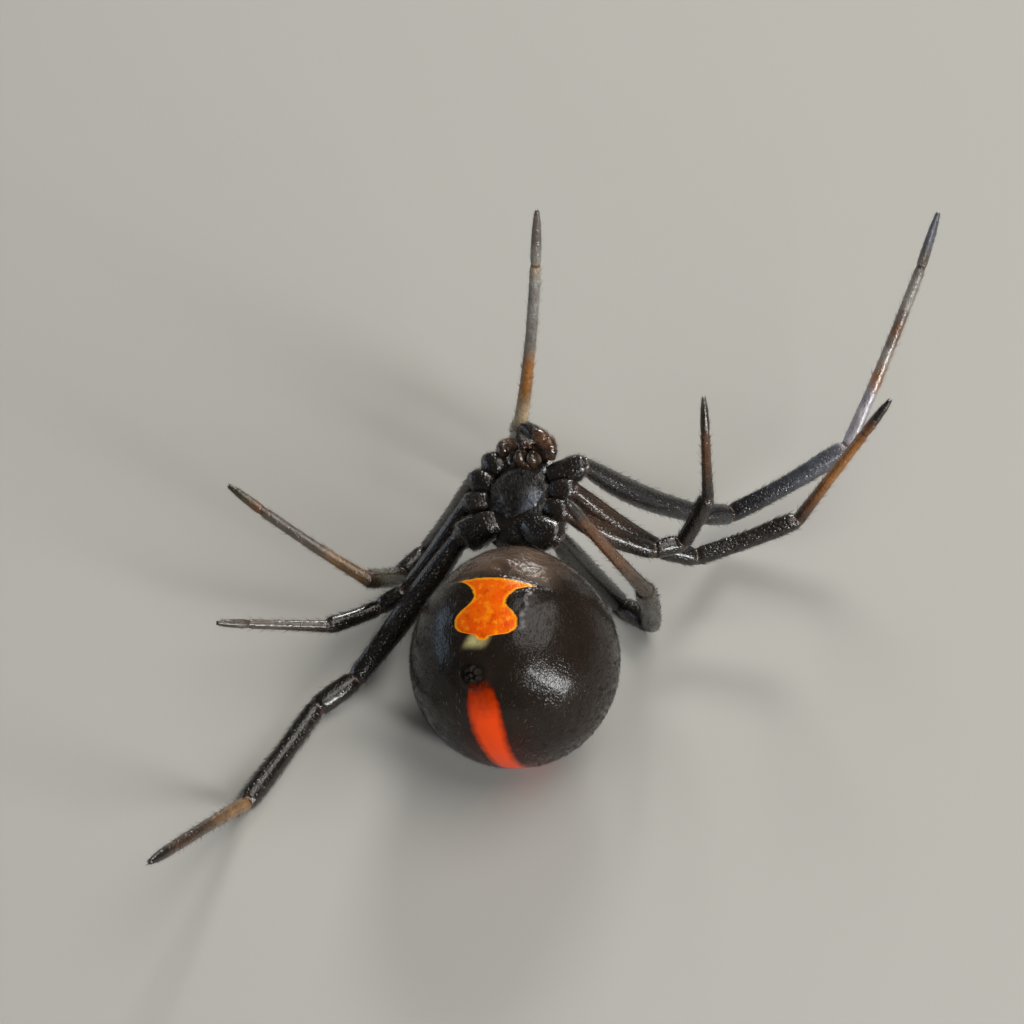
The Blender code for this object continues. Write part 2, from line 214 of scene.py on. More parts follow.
PROSOMA = BodyFrame((0.27, 5.72, 4.9), 75.0, 21.0, 14.0)
WAIST_PLACE = (-1.62, 0.0, -0.52)


class Bench:
    """Starts pieces from primitives, shapes them and sets them down in the model."""

    @staticmethod
    def deselect() -> None:
        """Leaves nothing selected, so that an operator acts on the new piece alone."""
        for obj in bpy.context.view_layer.objects:
            obj.select_set(False)

    @staticmethod
    def points(obj: bpy.types.Object) -> np.ndarray:
        """The places of a piece's vertices, one a row."""
        flat = np.empty(len(obj.data.vertices) * 3)
        obj.data.vertices.foreach_get("co", flat)
        return flat.reshape(-1, 3)

    @staticmethod
    def move_to(obj: bpy.types.Object, points: np.ndarray) -> None:
        """Moves a piece's vertices to new places, one a row."""
        obj.data.vertices.foreach_set("co", np.ascontiguousarray(points, float).ravel())
        obj.data.update()

    @classmethod
    def ball(cls, fineness: int) -> bpy.types.Object:
        """A unit ball of even triangles.

        Args:
            fineness: how many times its twenty faces are split, plus one.

        Returns:
            The new object, alone in the selection.
        """
        cls.deselect()
        bpy.ops.mesh.primitive_ico_sphere_add(subdivisions=fineness, radius=1.0)
        return bpy.context.object

    @classmethod
    def sleeve(cls, rows: np.ndarray, first: np.ndarray, last: np.ndarray) -> bpy.types.Object:
        """A closed skin over rows of points, shaped from a ball with as many rings.

        Args:
            rows: places by row, by turn and by axis.
            first: the pole before the first row.
            last: the pole after the last row.

        Returns:
            The shaped object, with its faces outwards.
        """
        count, around = rows.shape[:2]
        cls.deselect()
        bpy.ops.mesh.primitive_uv_sphere_add(segments=around, ring_count=count + 1, radius=1.0)
        obj = bpy.context.object
        start = cls.points(obj)
        height = np.clip(start[:, 2], -1.0, 1.0)
        row = np.rint((math.pi - np.arccos(height)) / math.pi * (count + 1)).astype(int) - 1
        turn = np.rint(np.arctan2(start[:, 1], start[:, 0]) / (2 * math.pi) * around)
        turn = turn.astype(int) % around
        placed = rows[np.clip(row, 0, count - 1), turn]
        placed[row < 0] = first
        placed[row >= count] = last
        cls.move_to(obj, placed)
        cls.face_outwards(obj)
        return obj

    @classmethod
    def face_outwards(cls, obj: bpy.types.Object) -> None:
        """Merges doubles and turns every face of a closed piece outwards."""
        cls.deselect()
        obj.select_set(True)
        bpy.context.view_layer.objects.active = obj
        bpy.ops.object.mode_set(mode="EDIT")
        bpy.ops.mesh.select_all(action="SELECT")
        bpy.ops.mesh.remove_doubles(threshold=1e-5)
        bpy.ops.mesh.normals_make_consistent(inside=False)
        bpy.ops.object.mode_set(mode="OBJECT")

    @classmethod
    def cut(cls, obj: bpy.types.Object, place: Vector, normal: Vector) -> None:
        """Cuts away what lies beyond a plane and closes the cut.

        Args:
            obj: the piece, with its object at the origin.
            place: a point of the plane.
            normal: towards the side that goes.
        """
        cls.deselect()
        obj.select_set(True)
        bpy.context.view_layer.objects.active = obj
        bpy.ops.object.mode_set(mode="EDIT")
        bpy.ops.mesh.select_all(action="SELECT")
        bpy.ops.mesh.bisect(plane_co=place, plane_no=normal, use_fill=True, clear_outer=True)
        bpy.ops.object.mode_set(mode="OBJECT")

    @classmethod
    def join(cls, pieces: list[bpy.types.Object]) -> bpy.types.Object:
        """Joins several objects into the first of them."""
        cls.deselect()
        for piece in pieces:
            piece.select_set(True)
        bpy.context.view_layer.objects.active = pieces[0]
        if len(pieces) > 1:
            bpy.ops.object.join()
        return pieces[0]

    @staticmethod
    def tint(obj: bpy.types.Object, name: str, values: np.ndarray) -> None:
        """Gives a piece a colour, or a single number, for each vertex.

        Args:
            obj: the piece.
            name: the attribute that the material reads.
            values: rows of red, green and blue, or one number for each vertex.
        """
        if values.ndim == 1:
            layer = obj.data.attributes.new(name, "FLOAT", "POINT")
            layer.data.foreach_set("value", values.astype(np.float32))
            return
        layer = obj.data.attributes.new(name, "FLOAT_COLOR", "POINT")
        full = np.ones((len(values), 4), np.float32)
        full[:, :3] = values
        layer.data.foreach_set("color", full.ravel())

    @classmethod
    def set_down(
        cls,
        obj: bpy.types.Object,
        name: str,
        material: bpy.types.Material,
        slot: str,
        nodes: tuple[str, ...] = (),
    ) -> bpy.types.Object:
        """Moves a shaped piece to its place in the model and attaches it to the root body.

        Args:
            obj: the piece, in millimetres of the spider's frame.
            name: its name in the model.
            material: its finish.
            slot: not used.
            nodes: the solids that it stands for.

        Returns:
            The piece.
        """
        cls.move_to(obj, (cls.points(obj) + MODEL_SHIFT) * METRES_PER_MM)
        obj.name = name
        obj.data.name = name
        obj.data.materials.clear()
        obj.data.materials.append(material)
        obj.data.shade_smooth()
        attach(obj, BODY)
        if nodes:
            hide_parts(*nodes)
        LOG.info("%s: %d vertices, stands for %d solids", name, len(obj.data.vertices), len(nodes))
        return obj


class Graph:
    """A material's nodes, laid out and linked by short calls."""

    def __init__(self, name: str) -> None:
        """Starts a material that holds a shader and an output."""
        self.material = bpy.data.materials.new(name)
        self.material.use_nodes = True
        self.tree = self.material.node_tree
        self.shader = self.tree.nodes["Principled BSDF"]

    def node(self, kind: str, **settings: object) -> bpy.types.Node:
        """Adds a node and sets its properties by name."""
        made = self.tree.nodes.new(kind)
        for key, value in settings.items():
            setattr(made, key, value)
        return made

    def link(self, source: bpy.types.NodeSocket, target: bpy.types.NodeSocket) -> None:
        """Links an output to an input."""
        self.tree.links.new(source, target)

    def attribute(self, name: str) -> bpy.types.Node:
        """Reads one of the piece's own attributes."""
        return self.node("ShaderNodeAttribute", attribute_name=name)

    def noise(self, size: float, detail: float = 3.0, stretch: float = 1.0) -> bpy.types.NodeSocket:
        """Noise on Object coordinates.

        Args:
            size: how large its grains are, in millimetres.
            detail: how many finer layers it has.
            stretch: how many times finer it is along Z.

        Returns:
            Its value socket.
        """
        coordinates = self.node("ShaderNodeTexCoord")
        mapping = self.node("ShaderNodeMapping")
        mapping.inputs["Scale"].default_value = (1.0, 1.0, stretch)
        noise = self.node("ShaderNodeTexNoise")
        noise.inputs["Scale"].default_value = 1 / (size * METRES_PER_MM)
        noise.inputs["Detail"].default_value = detail
        self.link(coordinates.outputs["Object"], mapping.inputs["Vector"])
        self.link(mapping.outputs["Vector"], noise.inputs["Vector"])
        return noise.outputs["Fac"]

    def pits(self, size: float) -> bpy.types.NodeSocket:
        """The distance from scattered points, for pores and hair sockets of that spacing."""
        coordinates = self.node("ShaderNodeTexCoord")
        cells = self.node("ShaderNodeTexVoronoi", feature="F1")
        cells.inputs["Scale"].default_value = 1 / (size * METRES_PER_MM)
        self.link(coordinates.outputs["Object"], cells.inputs["Vector"])
        return cells.outputs["Distance"]

    def ramp(
        self, value: bpy.types.NodeSocket, low: float, high: float, start: float, end: float
    ) -> bpy.types.NodeSocket:
        """Maps a range of a value to another range, and holds it there.

        Args:
            value: the socket to read.
            low: the value that gives the start.
            high: the value that gives the end.
            start: what the low value becomes.
            end: what the high value becomes.

        Returns:
            The mapped socket.
        """
        mapped = self.node("ShaderNodeMapRange", clamp=True)
        for key, number in zip(
            ("From Min", "From Max", "To Min", "To Max"), (low, high, start, end)
        ):
            mapped.inputs[key].default_value = number
        self.link(value, mapped.inputs["Value"])
        return mapped.outputs["Result"]

    def mix(
        self,
        share: bpy.types.NodeSocket,
        first: object,
        second: object,
        way: str = "MIX",
    ) -> bpy.types.NodeSocket:
        """Mixes two colours.

        Args:
            share: how much of the second.
            first: a colour or a socket.
            second: a colour or a socket.
            way: how they are combined.

        Returns:
            The mixed colour's socket.
        """
        mixer = self.node("ShaderNodeMix", data_type="RGBA", blend_type=way)
        self.link(share, mixer.inputs["Factor"])
        for value, socket in ((first, mixer.inputs[6]), (second, mixer.inputs[7])):
            if isinstance(value, bpy.types.NodeSocket):
                self.link(value, socket)
            else:
                socket.default_value = (*value, 1.0)
        return mixer.outputs[2]

    def sum(
        self, first: bpy.types.NodeSocket, second: bpy.types.NodeSocket, share: float
    ) -> bpy.types.NodeSocket:
        """The first value plus a share of the second."""
        adder = self.node("ShaderNodeMath", operation="MULTIPLY_ADD")
        self.link(second, adder.inputs[0])
        adder.inputs[1].default_value = share
        self.link(first, adder.inputs[2])
        return adder.outputs[0]

    def times(
        self, first: bpy.types.NodeSocket, second: bpy.types.NodeSocket
    ) -> bpy.types.NodeSocket:
        """The product of two values."""
        product = self.node("ShaderNodeMath", operation="MULTIPLY")
        self.link(first, product.inputs[0])
        self.link(second, product.inputs[1])
        return product.outputs[0]

    def bump(self, height: bpy.types.NodeSocket, depth: float, strength: float) -> None:
        """Gives the shader relief.

        Args:
            height: the relief's height, from 0 to 1.
            depth: how deep that is, in millimetres.
            strength: how much of it shows.
        """
        relief = self.node("ShaderNodeBump")
        relief.inputs["Distance"].default_value = depth * METRES_PER_MM
        relief.inputs["Strength"].default_value = strength
        self.link(height, relief.inputs["Height"])
        self.link(relief.outputs["Normal"], self.shader.inputs["Normal"])

    def set(self, **values: float | tuple[float, ...]) -> None:
        """Sets the shader's own sockets, with underscores for spaces in their names."""
        for key, value in values.items():
            self.shader.inputs[key.replace("_", " ")].default_value = value


@dataclass(frozen=True)
class Cuticle:
    """Glossy shell with its colour from the piece's tint, fine pores and a slight unevenness."""

    name: str
    gloss: tuple[float, float] = (0.16, 0.34)
    grain: float = 0.09
    relief: float = 0.006
    coat: float = 0.35
    glow: float = 0.0
    mottle: float = 0.45
    pitting: float = 0.4
    shine: float = 0.55

    def material(self) -> bpy.types.Material:
        """Builds the finish."""
        graph = Graph(self.name)
        tint = graph.attribute("tint").outputs["Color"]
        cloud = graph.noise(self.grain * 7, 4.0)
        fine = graph.noise(self.grain, 3.0)
        shadow = graph.ramp(cloud, 0.35, 0.68, self.mottle, 0.0)
        colour = graph.mix(shadow, tint, tuple(0.45 * c for c in Shade.SOOT.value))
        graph.link(colour, graph.shader.inputs["Base Color"])
        worn = graph.sum(cloud, fine, 0.5)
        graph.link(graph.ramp(worn, 0.5, 1.0, *self.gloss), graph.shader.inputs["Roughness"])
        pores = graph.ramp(graph.pits(self.grain * 1.2), 0.0, 0.45, 0.0, 1.0)
        graph.bump(graph.sum(fine, pores, self.pitting), self.relief, 0.8)
        graph.set(
            Specular_IOR_Level=self.shine,
            Coat_Weight=self.coat,
            Coat_Roughness=0.12,
            Subsurface_Weight=self.glow,
            Subsurface_Scale=0.25 * METRES_PER_MM,
            Subsurface_Radius=(1.0, 0.4, 0.15),
        )
        return graph.material


@dataclass(frozen=True)
class BellyCuticle:
    """The abdomen's satin skin, with the hourglass and the stripe sharp at their edges."""

    name: str = "abdomen_cuticle"
    edge: float = 0.03
    waver: float = 0.07
    rim: float = 0.13
    glow: float = 0.26

    def material(self) -> bpy.types.Material:
        """Builds the finish from the piece's tint, mark, stripe and wet attributes."""
        graph = Graph(self.name)
        tint = graph.attribute("tint").outputs["Color"]
        mark = graph.attribute("mark").outputs["Fac"]
        stripe = graph.attribute("stripe").outputs["Fac"]
        wet = graph.attribute("wet").outputs["Fac"]
        cloud = graph.noise(0.9, 5.0)
        fine = graph.noise(0.07, 3.0)
        spots = graph.noise(0.26, 2.0)
        centred = graph.ramp(graph.noise(0.22, 2.0), 0.25, 0.75, -0.5, 0.5)
        wavering = graph.sum(mark, centred, self.waver)
        inside = graph.ramp(wavering, -self.edge, self.edge, 0.0, 1.0)
        dark = graph.mix(graph.ramp(cloud, 0.35, 0.7, 0.6, 0.0), tint, Shade.JET.value)
        deep = graph.mix(
            graph.ramp(cloud, 0.38, 0.6, 0.0, 0.9), Shade.ORANGE.value, Shade.FLAME.value
        )
        gilded = graph.mix(
            graph.ramp(graph.noise(0.3, 5.0), 0.52, 0.68, 0.0, 0.45), deep, Shade.YELLOW.value
        )
        spotted = graph.mix(
            graph.ramp(spots, 0.57, 0.72, 0.0, 0.6), gilded, tuple(0.6 * c for c in Shade.RED.value)
        )
        hot = graph.mix(
            graph.ramp(wavering, 0.0, self.rim, 0.9, 0.0), spotted, Shade.YELLOW.value
        )
        red = graph.mix(
            graph.ramp(wavering, 0.0, self.glow, 0.0, 1.0),
            tuple(0.12 * c for c in Shade.RED.value),
            Shade.RED.value,
        )
        paint = graph.mix(stripe, hot, red)
        graph.link(graph.mix(inside, dark, paint), graph.shader.inputs["Base Color"])
        worn = graph.sum(cloud, fine, 0.6)
        satin = graph.ramp(worn, 0.5, 1.1, 0.09, 0.2)
        graph.link(graph.sum(satin, wet, -0.05), graph.shader.inputs["Roughness"])
        pores = graph.ramp(graph.pits(0.085), 0.0, 0.5, 0.0, 1.0)
        crinkles = graph.times(wet, graph.noise(0.16, 4.0))
        graph.bump(graph.sum(graph.sum(fine, pores, 0.8), crinkles, 4.0), 0.009, 0.9)
        graph.set(
            Specular_IOR_Level=0.22,
            Coat_Weight=0.08,
            Coat_Roughness=0.06,
            Subsurface_Weight=0.06,
            Subsurface_Scale=0.2 * METRES_PER_MM,
            Subsurface_Radius=(1.0, 0.35, 0.1),
        )
        return graph.material


@dataclass(frozen=True)
class HairFinish:
    """Stiff glossy hair, in the colour that its skin has at the root."""

    name: str
    roughness: float = 0.3
    shine: float = 0.7

    def material(self) -> bpy.types.Material:
        """Builds the finish."""
        graph = Graph(self.name)
        tint = graph.attribute("tint").outputs["Color"]
        patchy = graph.ramp(graph.noise(0.5, 2.0), 0.3, 0.7, 0.35, 0.0)
        colour = graph.mix(patchy, tint, Shade.JET.value)
        graph.link(colour, graph.shader.inputs["Base Color"])
        gloss = graph.ramp(
            graph.noise(0.2, 2.0), 0.3, 0.7, self.roughness, self.roughness + 0.15
        )
        graph.link(gloss, graph.shader.inputs["Roughness"])
        graph.set(Specular_IOR_Level=self.shine)
        return graph.material


@dataclass(frozen=True)
class EyeFinish:
    """Wet, dark and clear-coated, a little paler in small random patches."""

    name: str = "eye_lens"

    def material(self) -> bpy.types.Material:
        """Builds the finish."""
        graph = Graph(self.name)
        tint = graph.attribute("tint").outputs["Color"]
        cloud = graph.ramp(graph.noise(0.05, 2.0), 0.3, 0.7, 0.0, 0.5)
        graph.link(graph.mix(cloud, tint, Shade.JET.value), graph.shader.inputs["Base Color"])
        graph.link(graph.ramp(cloud, 0.0, 0.5, 0.03, 0.09), graph.shader.inputs["Roughness"])
        graph.set(Coat_Weight=1.0, Coat_Roughness=0.03, Specular_IOR_Level=0.8)
        return graph.material


class Coat:
    """Collects hairs and bristles as thin bent spikes and makes one mesh of them."""

    SIDES = 3
    POINTS = 7
    PATCH = 0.003
    LIMIT = 19500

    def __init__(self, name: str, slot: str, finish: bpy.types.Material) -> None:
        """Starts an empty coat.

        Args:
            name: its name in the model.
            slot: the record's slot of the skin under it.
            finish: the hairs' material.
        """
        self.name = name
        self.slot = slot
        self.finish = finish
        self.parts: list[tuple[np.ndarray, ...]] = []

    def grow(
        self,
        roots: np.ndarray,
        lean: np.ndarray,
        bend: np.ndarray,
        length: np.ndarray,
        thick: np.ndarray,
        colour: np.ndarray,
        unwrap: np.ndarray,
    ) -> None:
        """Adds hairs, one a row, apart from those that would reach under the floor.

        Args:
            roots: where they leave the skin.
            lean: the unit direction that each leaves in.
            bend: the unit direction that its tip turns to.
            length: lengths.
            thick: radii at the root.
            colour: rows of red, green and blue.
            unwrap: where each root lies on the flattened skin, from 0 to 1.
        """
        tips = roots + (lean * 0.8 + bend * 0.2) * length[:, None]
        kept = (tips[:, 2] > 0.02) & (roots[:, 2] > 0.02)
        rows = (roots, lean, bend, length, thick, colour, unwrap)
        self.parts.append(tuple(row[kept] for row in rows))

    def build(self) -> list[bpy.types.Object]:
        """Makes the meshes, as many as keep each one light."""
        rows = [np.concatenate(column) for column in zip(*self.parts)]
        total = len(rows[0])
        pieces = math.ceil(total / self.LIMIT)
        made = []
        for k in range(pieces):
            name = self.name if pieces == 1 else f"{self.name}_{k + 1}"
            made.append(self._mesh(name, [row[k::pieces] for row in rows]))
        return made

    def _mesh(self, name: str, rows: list[np.ndarray]) -> bpy.types.Object:
        """Makes one mesh of all the hairs given.

        Args:
            name: its name in the model.
            rows: the values that grow takes, in that order.

        Returns:
            The piece, set down on the model.
        """
        roots, lean, bend, length, thick, colour, unwrap = rows
        count = len(roots)
        side = unit(np.cross(lean, bend + np.array((0.013, 0.029, 0.017))))
        across = np.cross(lean, side)
        reach = length[:, None]
        levels = (roots - lean * 0.03, roots + (lean * 0.94 + bend * 0.06) * reach * 0.5)
        points = np.empty((count, self.POINTS, 3))
        spots = np.empty((count, self.POINTS, 2))
        for level, (middle, width) in enumerate(zip(levels, (1.0, 0.72))):
            for k in range(self.SIDES):
                turn = 2 * math.pi * k / self.SIDES
                spoke = side * math.cos(turn) + across * math.sin(turn)
                row = level * self.SIDES + k
                points[:, row] = middle + spoke * (thick * width)[:, None]
                spots[:, row] = unwrap + self.PATCH * np.array((k / 2 - 0.5, level / 2 - 0.5))
        points[:, -1] = roots + (lean * 0.8 + bend * 0.2) * reach
        spots[:, -1] = unwrap + self.PATCH * np.array((0.0, 0.5))
        faces = ((0, 1, 4, 3), (1, 2, 5, 4), (2, 0, 3, 5), (3, 4, 6), (4, 5, 6), (5, 3, 6), (2, 1, 0))
        corners = np.array([corner for face in faces for corner in face])
        starts = np.cumsum([0] + [len(face) for face in faces[:-1]])
        loops = (np.arange(count)[:, None] * self.POINTS + corners).ravel()
        begins = (np.arange(count)[:, None] * len(corners) + starts).ravel()
        mesh = bpy.data.meshes.new(name)
        mesh.vertices.add(count * self.POINTS)
        mesh.vertices.foreach_set("co", points.ravel())
        mesh.loops.add(len(loops))
        mesh.loops.foreach_set("vertex_index", loops.astype(np.int32))
        mesh.polygons.add(len(begins))
        mesh.polygons.foreach_set("loop_start", begins.astype(np.int32))
        mesh.update(calc_edges=True)
        layer = mesh.uv_layers.new(name="OFBake")
        layer.data.foreach_set("uv", spots.reshape(-1, 2)[loops].ravel().astype(np.float32))
        obj = bpy.data.objects.new(name, mesh)
        bpy.context.scene.collection.objects.link(obj)
        Bench.tint(obj, "tint", np.repeat(colour, self.POINTS, axis=0))
        return Bench.set_down(obj, name, self.finish, self.slot)


@dataclass
class Abdomen:
    """The round abdomen: belly mark, rear stripe, genital plate, lung covers and spinnerets."""

    body: BodyFrame = BodyFrame((0.0, 0.0, 3.5), 77.0, 7.0, 16.0)
    halves: tuple[float, float, float] = (3.65, 3.5, 3.6)
    fineness: int = 7
    dimple_depth: float = 0.35
    dimple_reach: float = 0.42
    swell_angle: float = -52.0
    swell_height: float = 0.22
    swell_reach: float = 0.42
    mean_radius: float = 3.5
    depth_under_solid: float = 0.02
    marks_part_at: float = 37.0
    # Rear angle in degrees from the middle of the belly, and half width in millimetres
    glass_places: tuple[float, ...] = (
        -13, -11.5, -9.6, -7, -4.3, 0, 3, 5, 8, 11, 14, 17.5, 19.6, 21, 21.9, 22.8, 24.2, 25.4,
    )
    glass_widths: tuple[float, ...] = (
        1.36, 1.17, 0.98, 0.78, 0.67, 0.56, 0.55, 0.63, 0.87, 1.0, 1.06, 1.02, 0.92, 0.78, 0.5, 0.24,
        0.17, 0.04,
    )
    glass_middle: float = 0.24
    stripe_places: tuple[float, ...] = (48.5, 51, 54, 58.5, 67, 77, 88, 107, 130, 155, 178, 198, 212)
    stripe_widths: tuple[float, ...] = (
        0.36, 0.44, 0.48, 0.54, 0.59, 0.58, 0.52, 0.46, 0.5, 0.6, 0.56, 0.36, 0.05,
    )
    stripe_middle: float = 0.19
    spinneret_angle: float = 43.0
    spinneret_ring: float = 0.2
    spinneret_size: tuple[float, float] = (0.12, 0.46)
    spinneret_shorter: tuple[float, ...] = (0.7, 0.86, 0.86)
    hairs: int = 19000
    hair_lengths: tuple[float, float] = (0.1, 0.2)
    mark_hairs: float = 0.3
    waist_bare: float = 0.32

    def waist(self) -> np.ndarray:
        """The unit direction from the middle to the waist."""
        return unit(PROSOMA.place(WAIST_PLACE) - np.array(self.body.centre))

    def belly_direction(self, rear_angle: float) -> np.ndarray:
        """The unit direction to the middle line, that many degrees behind the belly's middle."""
        forward, _, ventral = self.body.axes()
        turn = math.radians(rear_angle)
        return ventral * math.cos(turn) - forward * math.sin(turn)

    def chart(self, out: np.ndarray) -> tuple[np.ndarray, np.ndarray]:
        """Flattens the skin.

        Args:
            out: unit directions from the middle, one a row.

        Returns:
            The angle rearwards from the middle of the belly in degrees, which runs on over the
            back, and how far to the left of the middle line in millimetres.
        """
        forward, left, ventral = (out @ self.body.axes().T).T
        rear = np.degrees(np.arctan2(-forward, ventral))
        return np.where(rear < -90, rear + 360, rear), np.arcsin(left) * self.mean_radius

    def outline(self, out: np.ndarray) -> tuple[np.ndarray, np.ndarray]:
        """The belly mark and the stripe.

        Args:
            out: unit directions, one a row.

        Returns:
            How far inside a mark each point lies, in millimetres and negative outside, and 1
            where the nearer mark is the stripe.
        """
        rear, aside = self.chart(out)
        reach = math.radians(1) * self.mean_radius
        depths = []
        for places, widths, middle, fade in (
            (self.glass_places, self.glass_widths, self.glass_middle, 1.0),
            (self.stripe_places, self.stripe_widths, self.stripe_middle, 0.2),
        ):
            half = smooth_curve(rear, places, widths)
            depth = half - np.abs(aside - middle)
            depth = np.minimum(depth, (rear - places[0]) * reach * fade)
            depths.append(np.minimum(depth, (places[-1] - rear) * reach))
        return np.maximum(*depths), (rear > self.marks_part_at).astype(float)

    def relief(self, out: np.ndarray) -> np.ndarray:
        """Small forms of the skin, as millimetres outwards for each direction."""
        rear, aside = self.chart(out)
        along = np.radians(rear) * self.mean_radius
        across = aside - self.glass_middle
        height = -0.05 * hump((rear + 16.5) / 2.2) * smooth_step(2.1, 1.5, np.abs(across))
        mound = hump((along + 1.55) / 0.42) * hump(across / 0.55)
        height += 0.14 * mound - 0.1 * hump((along + 1.28) / 0.1) * hump(across / 0.2)
        for side in (-1, 1):
            height += 0.06 * hump((along + 1.9) / 0.45) * hump((across - side * 1.35) / 0.5)
            for place, away in ((2.45, 0.8), (3.05, 0.95)):
                spot = hump((np.radians(rear) - place) / 0.05) * hump((aside - side * away) / 0.16)
                height -= 0.06 * spot
        ring = np.hypot(np.radians(rear - self.spinneret_angle) * self.mean_radius, aside)
        height += 0.03 * hump((ring - 0.42) / 0.14)
        folds = np.sin(across * 9 + np.sin(along * 3.1) * 0.8) * np.sin(along * 5.3 + across)
        crinkles = np.sin(along * 17 + across * 9 + 2 * np.sin(across * 6))
        crinkles = crinkles * np.sin(across * 13 - along * 7)
        weave = 0.08 * np.sin(along * 2.6 + across) + 0.05 * np.sin(along * 8.3)
        ridge = hump((np.abs(across) - 1.1 - weave) / 0.07) * (0.6 + 0.4 * np.sin(along * 11))
        ridge = ridge * smooth_step(-10, -3, rear) * smooth_step(24, 12, rear)
        return height + 0.004 * folds + 0.01 * crinkles * self.wet(out) + 0.03 * ridge

    def wet(self, out: np.ndarray) -> np.ndarray:
        """How smooth and wrinkled the skin is: 1 in front of the belly mark, some beside it."""
        rear, aside = self.chart(out)
        across = aside - self.glass_middle
        front = smooth_step(-12, -17, rear) * smooth_step(-75, -50, rear)
        front = front * smooth_step(2.4, 1.5, np.abs(across))
        beside = smooth_step(-12, -8, rear) * smooth_step(26, 18, rear) * hump((across - 1.25) / 0.22)
        return np.maximum(front, 0.7 * beside)

    def surface(self, out: np.ndarray, relief: bool = True) -> np.ndarray:
        """The skin's places.

        Args:
            out: unit directions from the middle, one a row.
            relief: whether the small forms are on it.

        Returns:
            A place for each direction, none below the floor.
        """
        shares = (out @ self.body.axes().T) / np.array(self.halves)
        reach = 1 / np.linalg.norm(shares, axis=-1) - self.depth_under_solid
        angle = np.arccos(np.clip(out @ self.waist(), -1, 1))
        reach = reach - self.dimple_depth * hump(angle / self.dimple_reach)
        angle = np.arccos(np.clip(out @ self.belly_direction(self.swell_angle), -1, 1))
        reach = reach + self.swell_height * hump(angle / self.swell_reach)
        if relief:
            reach = reach + self.relief(out)
        points = np.array(self.body.centre) + out * reach[..., None]
        points[..., 2] = np.maximum(points[..., 2], 0.0)
        return points

    def colours(self, out: np.ndarray) -> np.ndarray:
        """The skin's colour outside the marks: black-brown, lighter in front and at the straw spot, with
        a painted highlight line beside the belly mark.
        """
        rear, aside = self.chart(out)
        across = aside - self.glass_middle
        rows = np.tile(Shade.SOOT.value, (len(out), 1))
        front = smooth_step(-12, -22, rear) * smooth_step(-70, -45, rear)
        front = front * smooth_step(2.3, 1.1, np.abs(across))
        rows = blend(rows, np.array(Shade.SMOKED_TAN.value), front * 0.85)
        straw = smooth_step(21, 24, rear) * smooth_step(31, 26.5, rear)
        straw = straw * smooth_step(0.5, 0.24, np.abs(aside - 0.05 + 0.03 * (rear - 26)))
        rows = blend(rows, np.array(Shade.STRAW.value), straw)
        # A thin broken lilac line beside the belly mark is a painted highlight of wrinkled skin.
        weave = 0.05 * np.sin(rear * 0.55) + 0.03 * np.sin(rear * 1.7)
        broken = 0.5 + 0.35 * np.sin(rear * 0.83 + 1.0) + 0.25 * np.sin(rear * 1.61)
        glint_line = hump((across - 1.2 - weave) / 0.06) * np.clip(broken, 0.0, 0.9)
        glint_line = glint_line * smooth_step(-11, -6, rear) * smooth_step(21, 14, rear)
        rows = blend(rows, np.array(Shade.SHEEN_LILAC.value), glint_line)
        glow = smooth_step(1.7, 0.5, np.abs(aside - self.stripe_middle)) * smooth_step(62, 95, rear)
        return blend(rows, np.array(Shade.WINE.value), glow * 0.8)

    def build_skin(self) -> bpy.types.Object:
        """One closed skin, with its colours and marks."""
        obj = Bench.ball(self.fineness)
        out = unit(Bench.points(obj))
        Bench.move_to(obj, self.surface(out))
        mark, stripe = self.outline(out)
        Bench.tint(obj, "tint", self.colours(out))
        Bench.tint(obj, "mark", mark)
        Bench.tint(obj, "stripe", stripe)
        Bench.tint(obj, "wet", self.wet(out))
        return Bench.set_down(obj, "abdomen_skin", BellyCuticle().material(), "abdomen", ("abdomen",))

    def build_spinnerets(self) -> bpy.types.Object:
        """Six spinnerets of two joints each round a small middle cone."""
        left = self.body.axes()[1]
        out = self.belly_direction(self.spinneret_angle)
        root = self.surface(out[None], relief=False)[0]
        side = np.cross(out, left)
        radius, tall = self.spinneret_size
        pieces = []
        for k in range(7):
            start, lean, share = root, out, 1.0
            if k:
                angle = 2 * math.pi * (k - 0.5) / 6
                spoke = left * math.cos(angle) + side * math.sin(angle)
                start = root + spoke * self.spinneret_ring
                lean = unit(out - spoke * 0.12)
                share = self.spinneret_shorter[k % 3]
            profile = ((-0.1, 1.0), (0.15, 1.05), (0.5, 0.95), (0.58, 0.74), (0.64, 0.8), (0.9, 0.5))
            rows = tube_rows(start, lean, tall * share, radius, profile, 16)
            pieces.append(Bench.sleeve(rows, start - lean * 0.1, start + lean * tall * share * 0.97))
        obj = Bench.join(pieces)
        # Darker than the body's black: partly the spinnerets' own colour, partly painted shade.
        tint = np.array(Shade.JET.value) * 0.6
        Bench.tint(obj, "tint", np.tile(tint, (len(obj.data.vertices), 1)))
        finish = Cuticle("spinneret_cuticle", gloss=(0.5, 0.75), coat=0.0, shine=0.15).material()
        return Bench.set_down(obj, "spinneret_cluster", finish, "spinnerets", ("spinnerets",))

